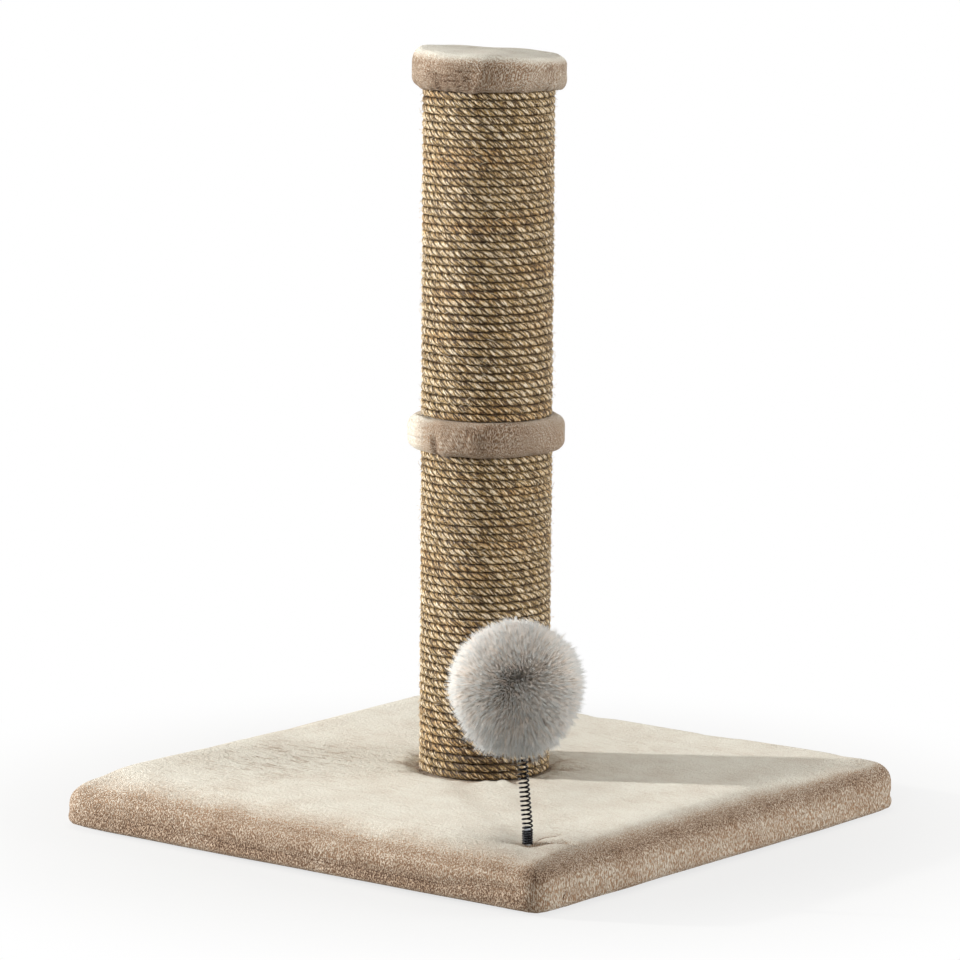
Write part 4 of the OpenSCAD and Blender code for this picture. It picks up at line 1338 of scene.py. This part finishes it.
def wire_piece(name, line):
    """Round wire along a line in millimetres, closed at both ends"""
    piece = path_through(name, line)
    piece.data.bevel_depth = wire_d / 2 * MM
    piece.data.bevel_resolution = 3
    piece.data.use_fill_caps = True
    only(piece)
    bpy.ops.object.convert(target="MESH")
    piece = bpy.context.object
    pick_all(piece)
    bpy.ops.mesh.remove_doubles(threshold=1e-6)
    bpy.ops.mesh.normals_make_consistent(inside=False)
    done(piece)
    dress(piece, spring_steel)
    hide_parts("toy_spring")
    print(name, triangles(piece), "triangles")
    return piece


split = int(np.argmax(height_on_axis > middle_height))
spring_foot = wire_piece("spring_lower_half", wire[:split + 1])
spring_top = wire_piece("spring_upper_half", wire[split:])
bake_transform(spring_foot)
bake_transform(spring_top)

# %% [markdown]
# ## The pompom
# A ball of wadding sits on a wooden peg, inside a bag of fur cloth. The wadding is a ball of
# triangles, roughened and drilled for peg and spring. The fur's knitted back lies close over it.
# Thin hairs then stand square to that skin. Hairs that grow near each other lean together into
# tufts, each tuft with its own length and lightness, and round the spring they close in.

# %% Stuff the ball
peg_hole_r, half_peg, way_in_r = 0.00805, 13.05, 0.0041
core_r = (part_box("pompom_stuffing")[1].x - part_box("pompom_stuffing")[0].x) / 2 / MM
centre = Vector(ball * MM)
down_line = Vector(-lean * MM)


def soft_ball(name, radius, rough, seed):
    """Ball of triangles round the pompom's middle, dented by up to rough millimetres"""
    bpy.ops.mesh.primitive_ico_sphere_add(subdivisions=5, radius=radius * MM, location=centre)
    piece = bpy.context.object
    piece.name = name
    done(piece)
    rows = points_of(piece) - ball
    rows *= (1 - rough * (0.5 + 0.5 * ripple(rows, 6, seed)) / radius)[:, None]
    move_points(piece, rows + ball)
    return piece


wadding = soft_ball("pompom_wadding", core_r - 0.1, rough=0.8, seed=71)
drill(wadding, peg_hole_r, centre - down_line * half_peg, centre + down_line * half_peg)
drill(wadding, way_in_r, centre, centre + down_line * (core_r + 3))
back_cloth = soft_ball("pompom_back_cloth", core_r + 0.5, rough=0.2, seed=72)
pick(back_cloth, "VERT", lambda v: (v.co - centre).normalized().dot(down_line.normalized()) > math.cos(0.22))
bpy.ops.mesh.delete(type="VERT")
done(back_cloth)
finish_with(back_cloth, "SOLIDIFY", thickness=0.4 * MM, offset=-1)
note(back_cloth, "along", np.full(len(back_cloth.data.vertices), 0.55))
note(back_cloth, "tone", np.zeros(len(back_cloth.data.vertices)))
fill_finish = inner_finishes["polyester_fill"]
for piece, node, slot, finish in ((wadding, "pompom_stuffing", "polyester_fill", fill_finish),
                                  (back_cloth, "pompom_fur", "faux_fur", fur)):
    dress(piece, finish)
    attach(piece, "pompom")
    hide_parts(node)
    print(piece.name, triangles(piece), "triangles")


# %% Grow the hairs
def evenly(count, seed):
    """Directions spread evenly over a ball, a little shaken"""
    k = np.arange(count) + 0.5
    z = 1 - 2 * k / count
    at = k * math.pi * (3 - math.sqrt(5))
    r = np.sqrt(1 - z * z)
    ways = np.stack([r * np.cos(at), r * np.sin(at), z], 1)
    return unit(ways + np.random.default_rng(seed).normal(size=ways.shape) * 0.9 / math.sqrt(count))


HAIRS_A_PIECE = 18000
FUR_PIECES = 5
OPENING = 12.5
rng = np.random.default_rng(5)
ways = evenly(HAIRS_A_PIECE * FUR_PIECES, 1)
tufts = evenly(5200, 2)
tuft_length = rng.normal(0, 1.2, len(tufts))
tuft_tone = rng.normal(0, 0.16, len(tufts))
finder = KDTree(len(tufts))
for i, way in enumerate(tufts):
    finder.insert(way, i)
finder.balance()
nearest = np.array([finder.find(w)[1] for w in ways])
straight_down = np.degrees(np.arccos(np.clip(ways @ -lean, -1, 1)))
keep = straight_down > OPENING
ways, nearest, straight_down = ways[keep], nearest[keep], straight_down[keep]
sway = np.stack([ripple(ways * 30, 16, s) for s in (11, 12, 13)], 1)
short = rng.random(len(ways)) < 0.48
lean_in = np.where(short, 0.2, 0.7)[:, None]
shaken = rng.normal(size=ways.shape) * 0.010
tips = unit(ways * (1 - lean_in) + tufts[nearest] * lean_in + sway * 0.11 + shaken)
closing = 1 - ease(straight_down, OPENING, 26)
tips = unit(tips - closing[:, None] * 0.13 * unit(tips - lean * (tips @ lean)[:, None]))
reach = (ball_r - 0.7 + rng.normal(size=len(ways)) * 0.5 + tuft_length[nearest]
         + 0.6 * ripple(ways * 40, 26, 14))
reach -= np.where(short, rng.uniform(1.2, 5.0, len(ways)), 7 * rng.random(len(ways)) ** 6)
reach += (2.0 + tuft_length[nearest]) * ease(-ways[:, 2], 0.40, 0.95)
tone = (0.10 * rng.random(len(ways)) + tuft_tone[nearest] + 0.25 * (rng.random(len(ways)) > 0.92)
        - 0.25 * short)
order = rng.permutation(len(ways))

for k in range(FUR_PIECES):
    chosen = order[k::FUR_PIECES]
    root, tip, far = ways[chosen] * core_r, tips[chosen], reach[chosen]
    end = tip * far[:, None] - np.array([0, 0, 0.8])
    bow = (ways[chosen] - tip) * (far * 0.10)[:, None]
    thick = rng.uniform(0.13, 0.22, len(chosen))
    piece, rows = hairs("pompom_hair_%d" % (k + 1), root + ball, end + ball, bow, thick, rng)
    from_middle = np.linalg.norm(rows - ball, axis=2)
    note(piece, "along", np.clip((from_middle - core_r) / (ball_r - core_r), 0, 1).ravel())
    note(piece, "tone", np.repeat(tone[chosen], len(hair_rows)))
    piece.data.materials.append(fur)
    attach(piece, "pompom")
    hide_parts("pompom_fur")

# %% Find the sizes
low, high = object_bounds()
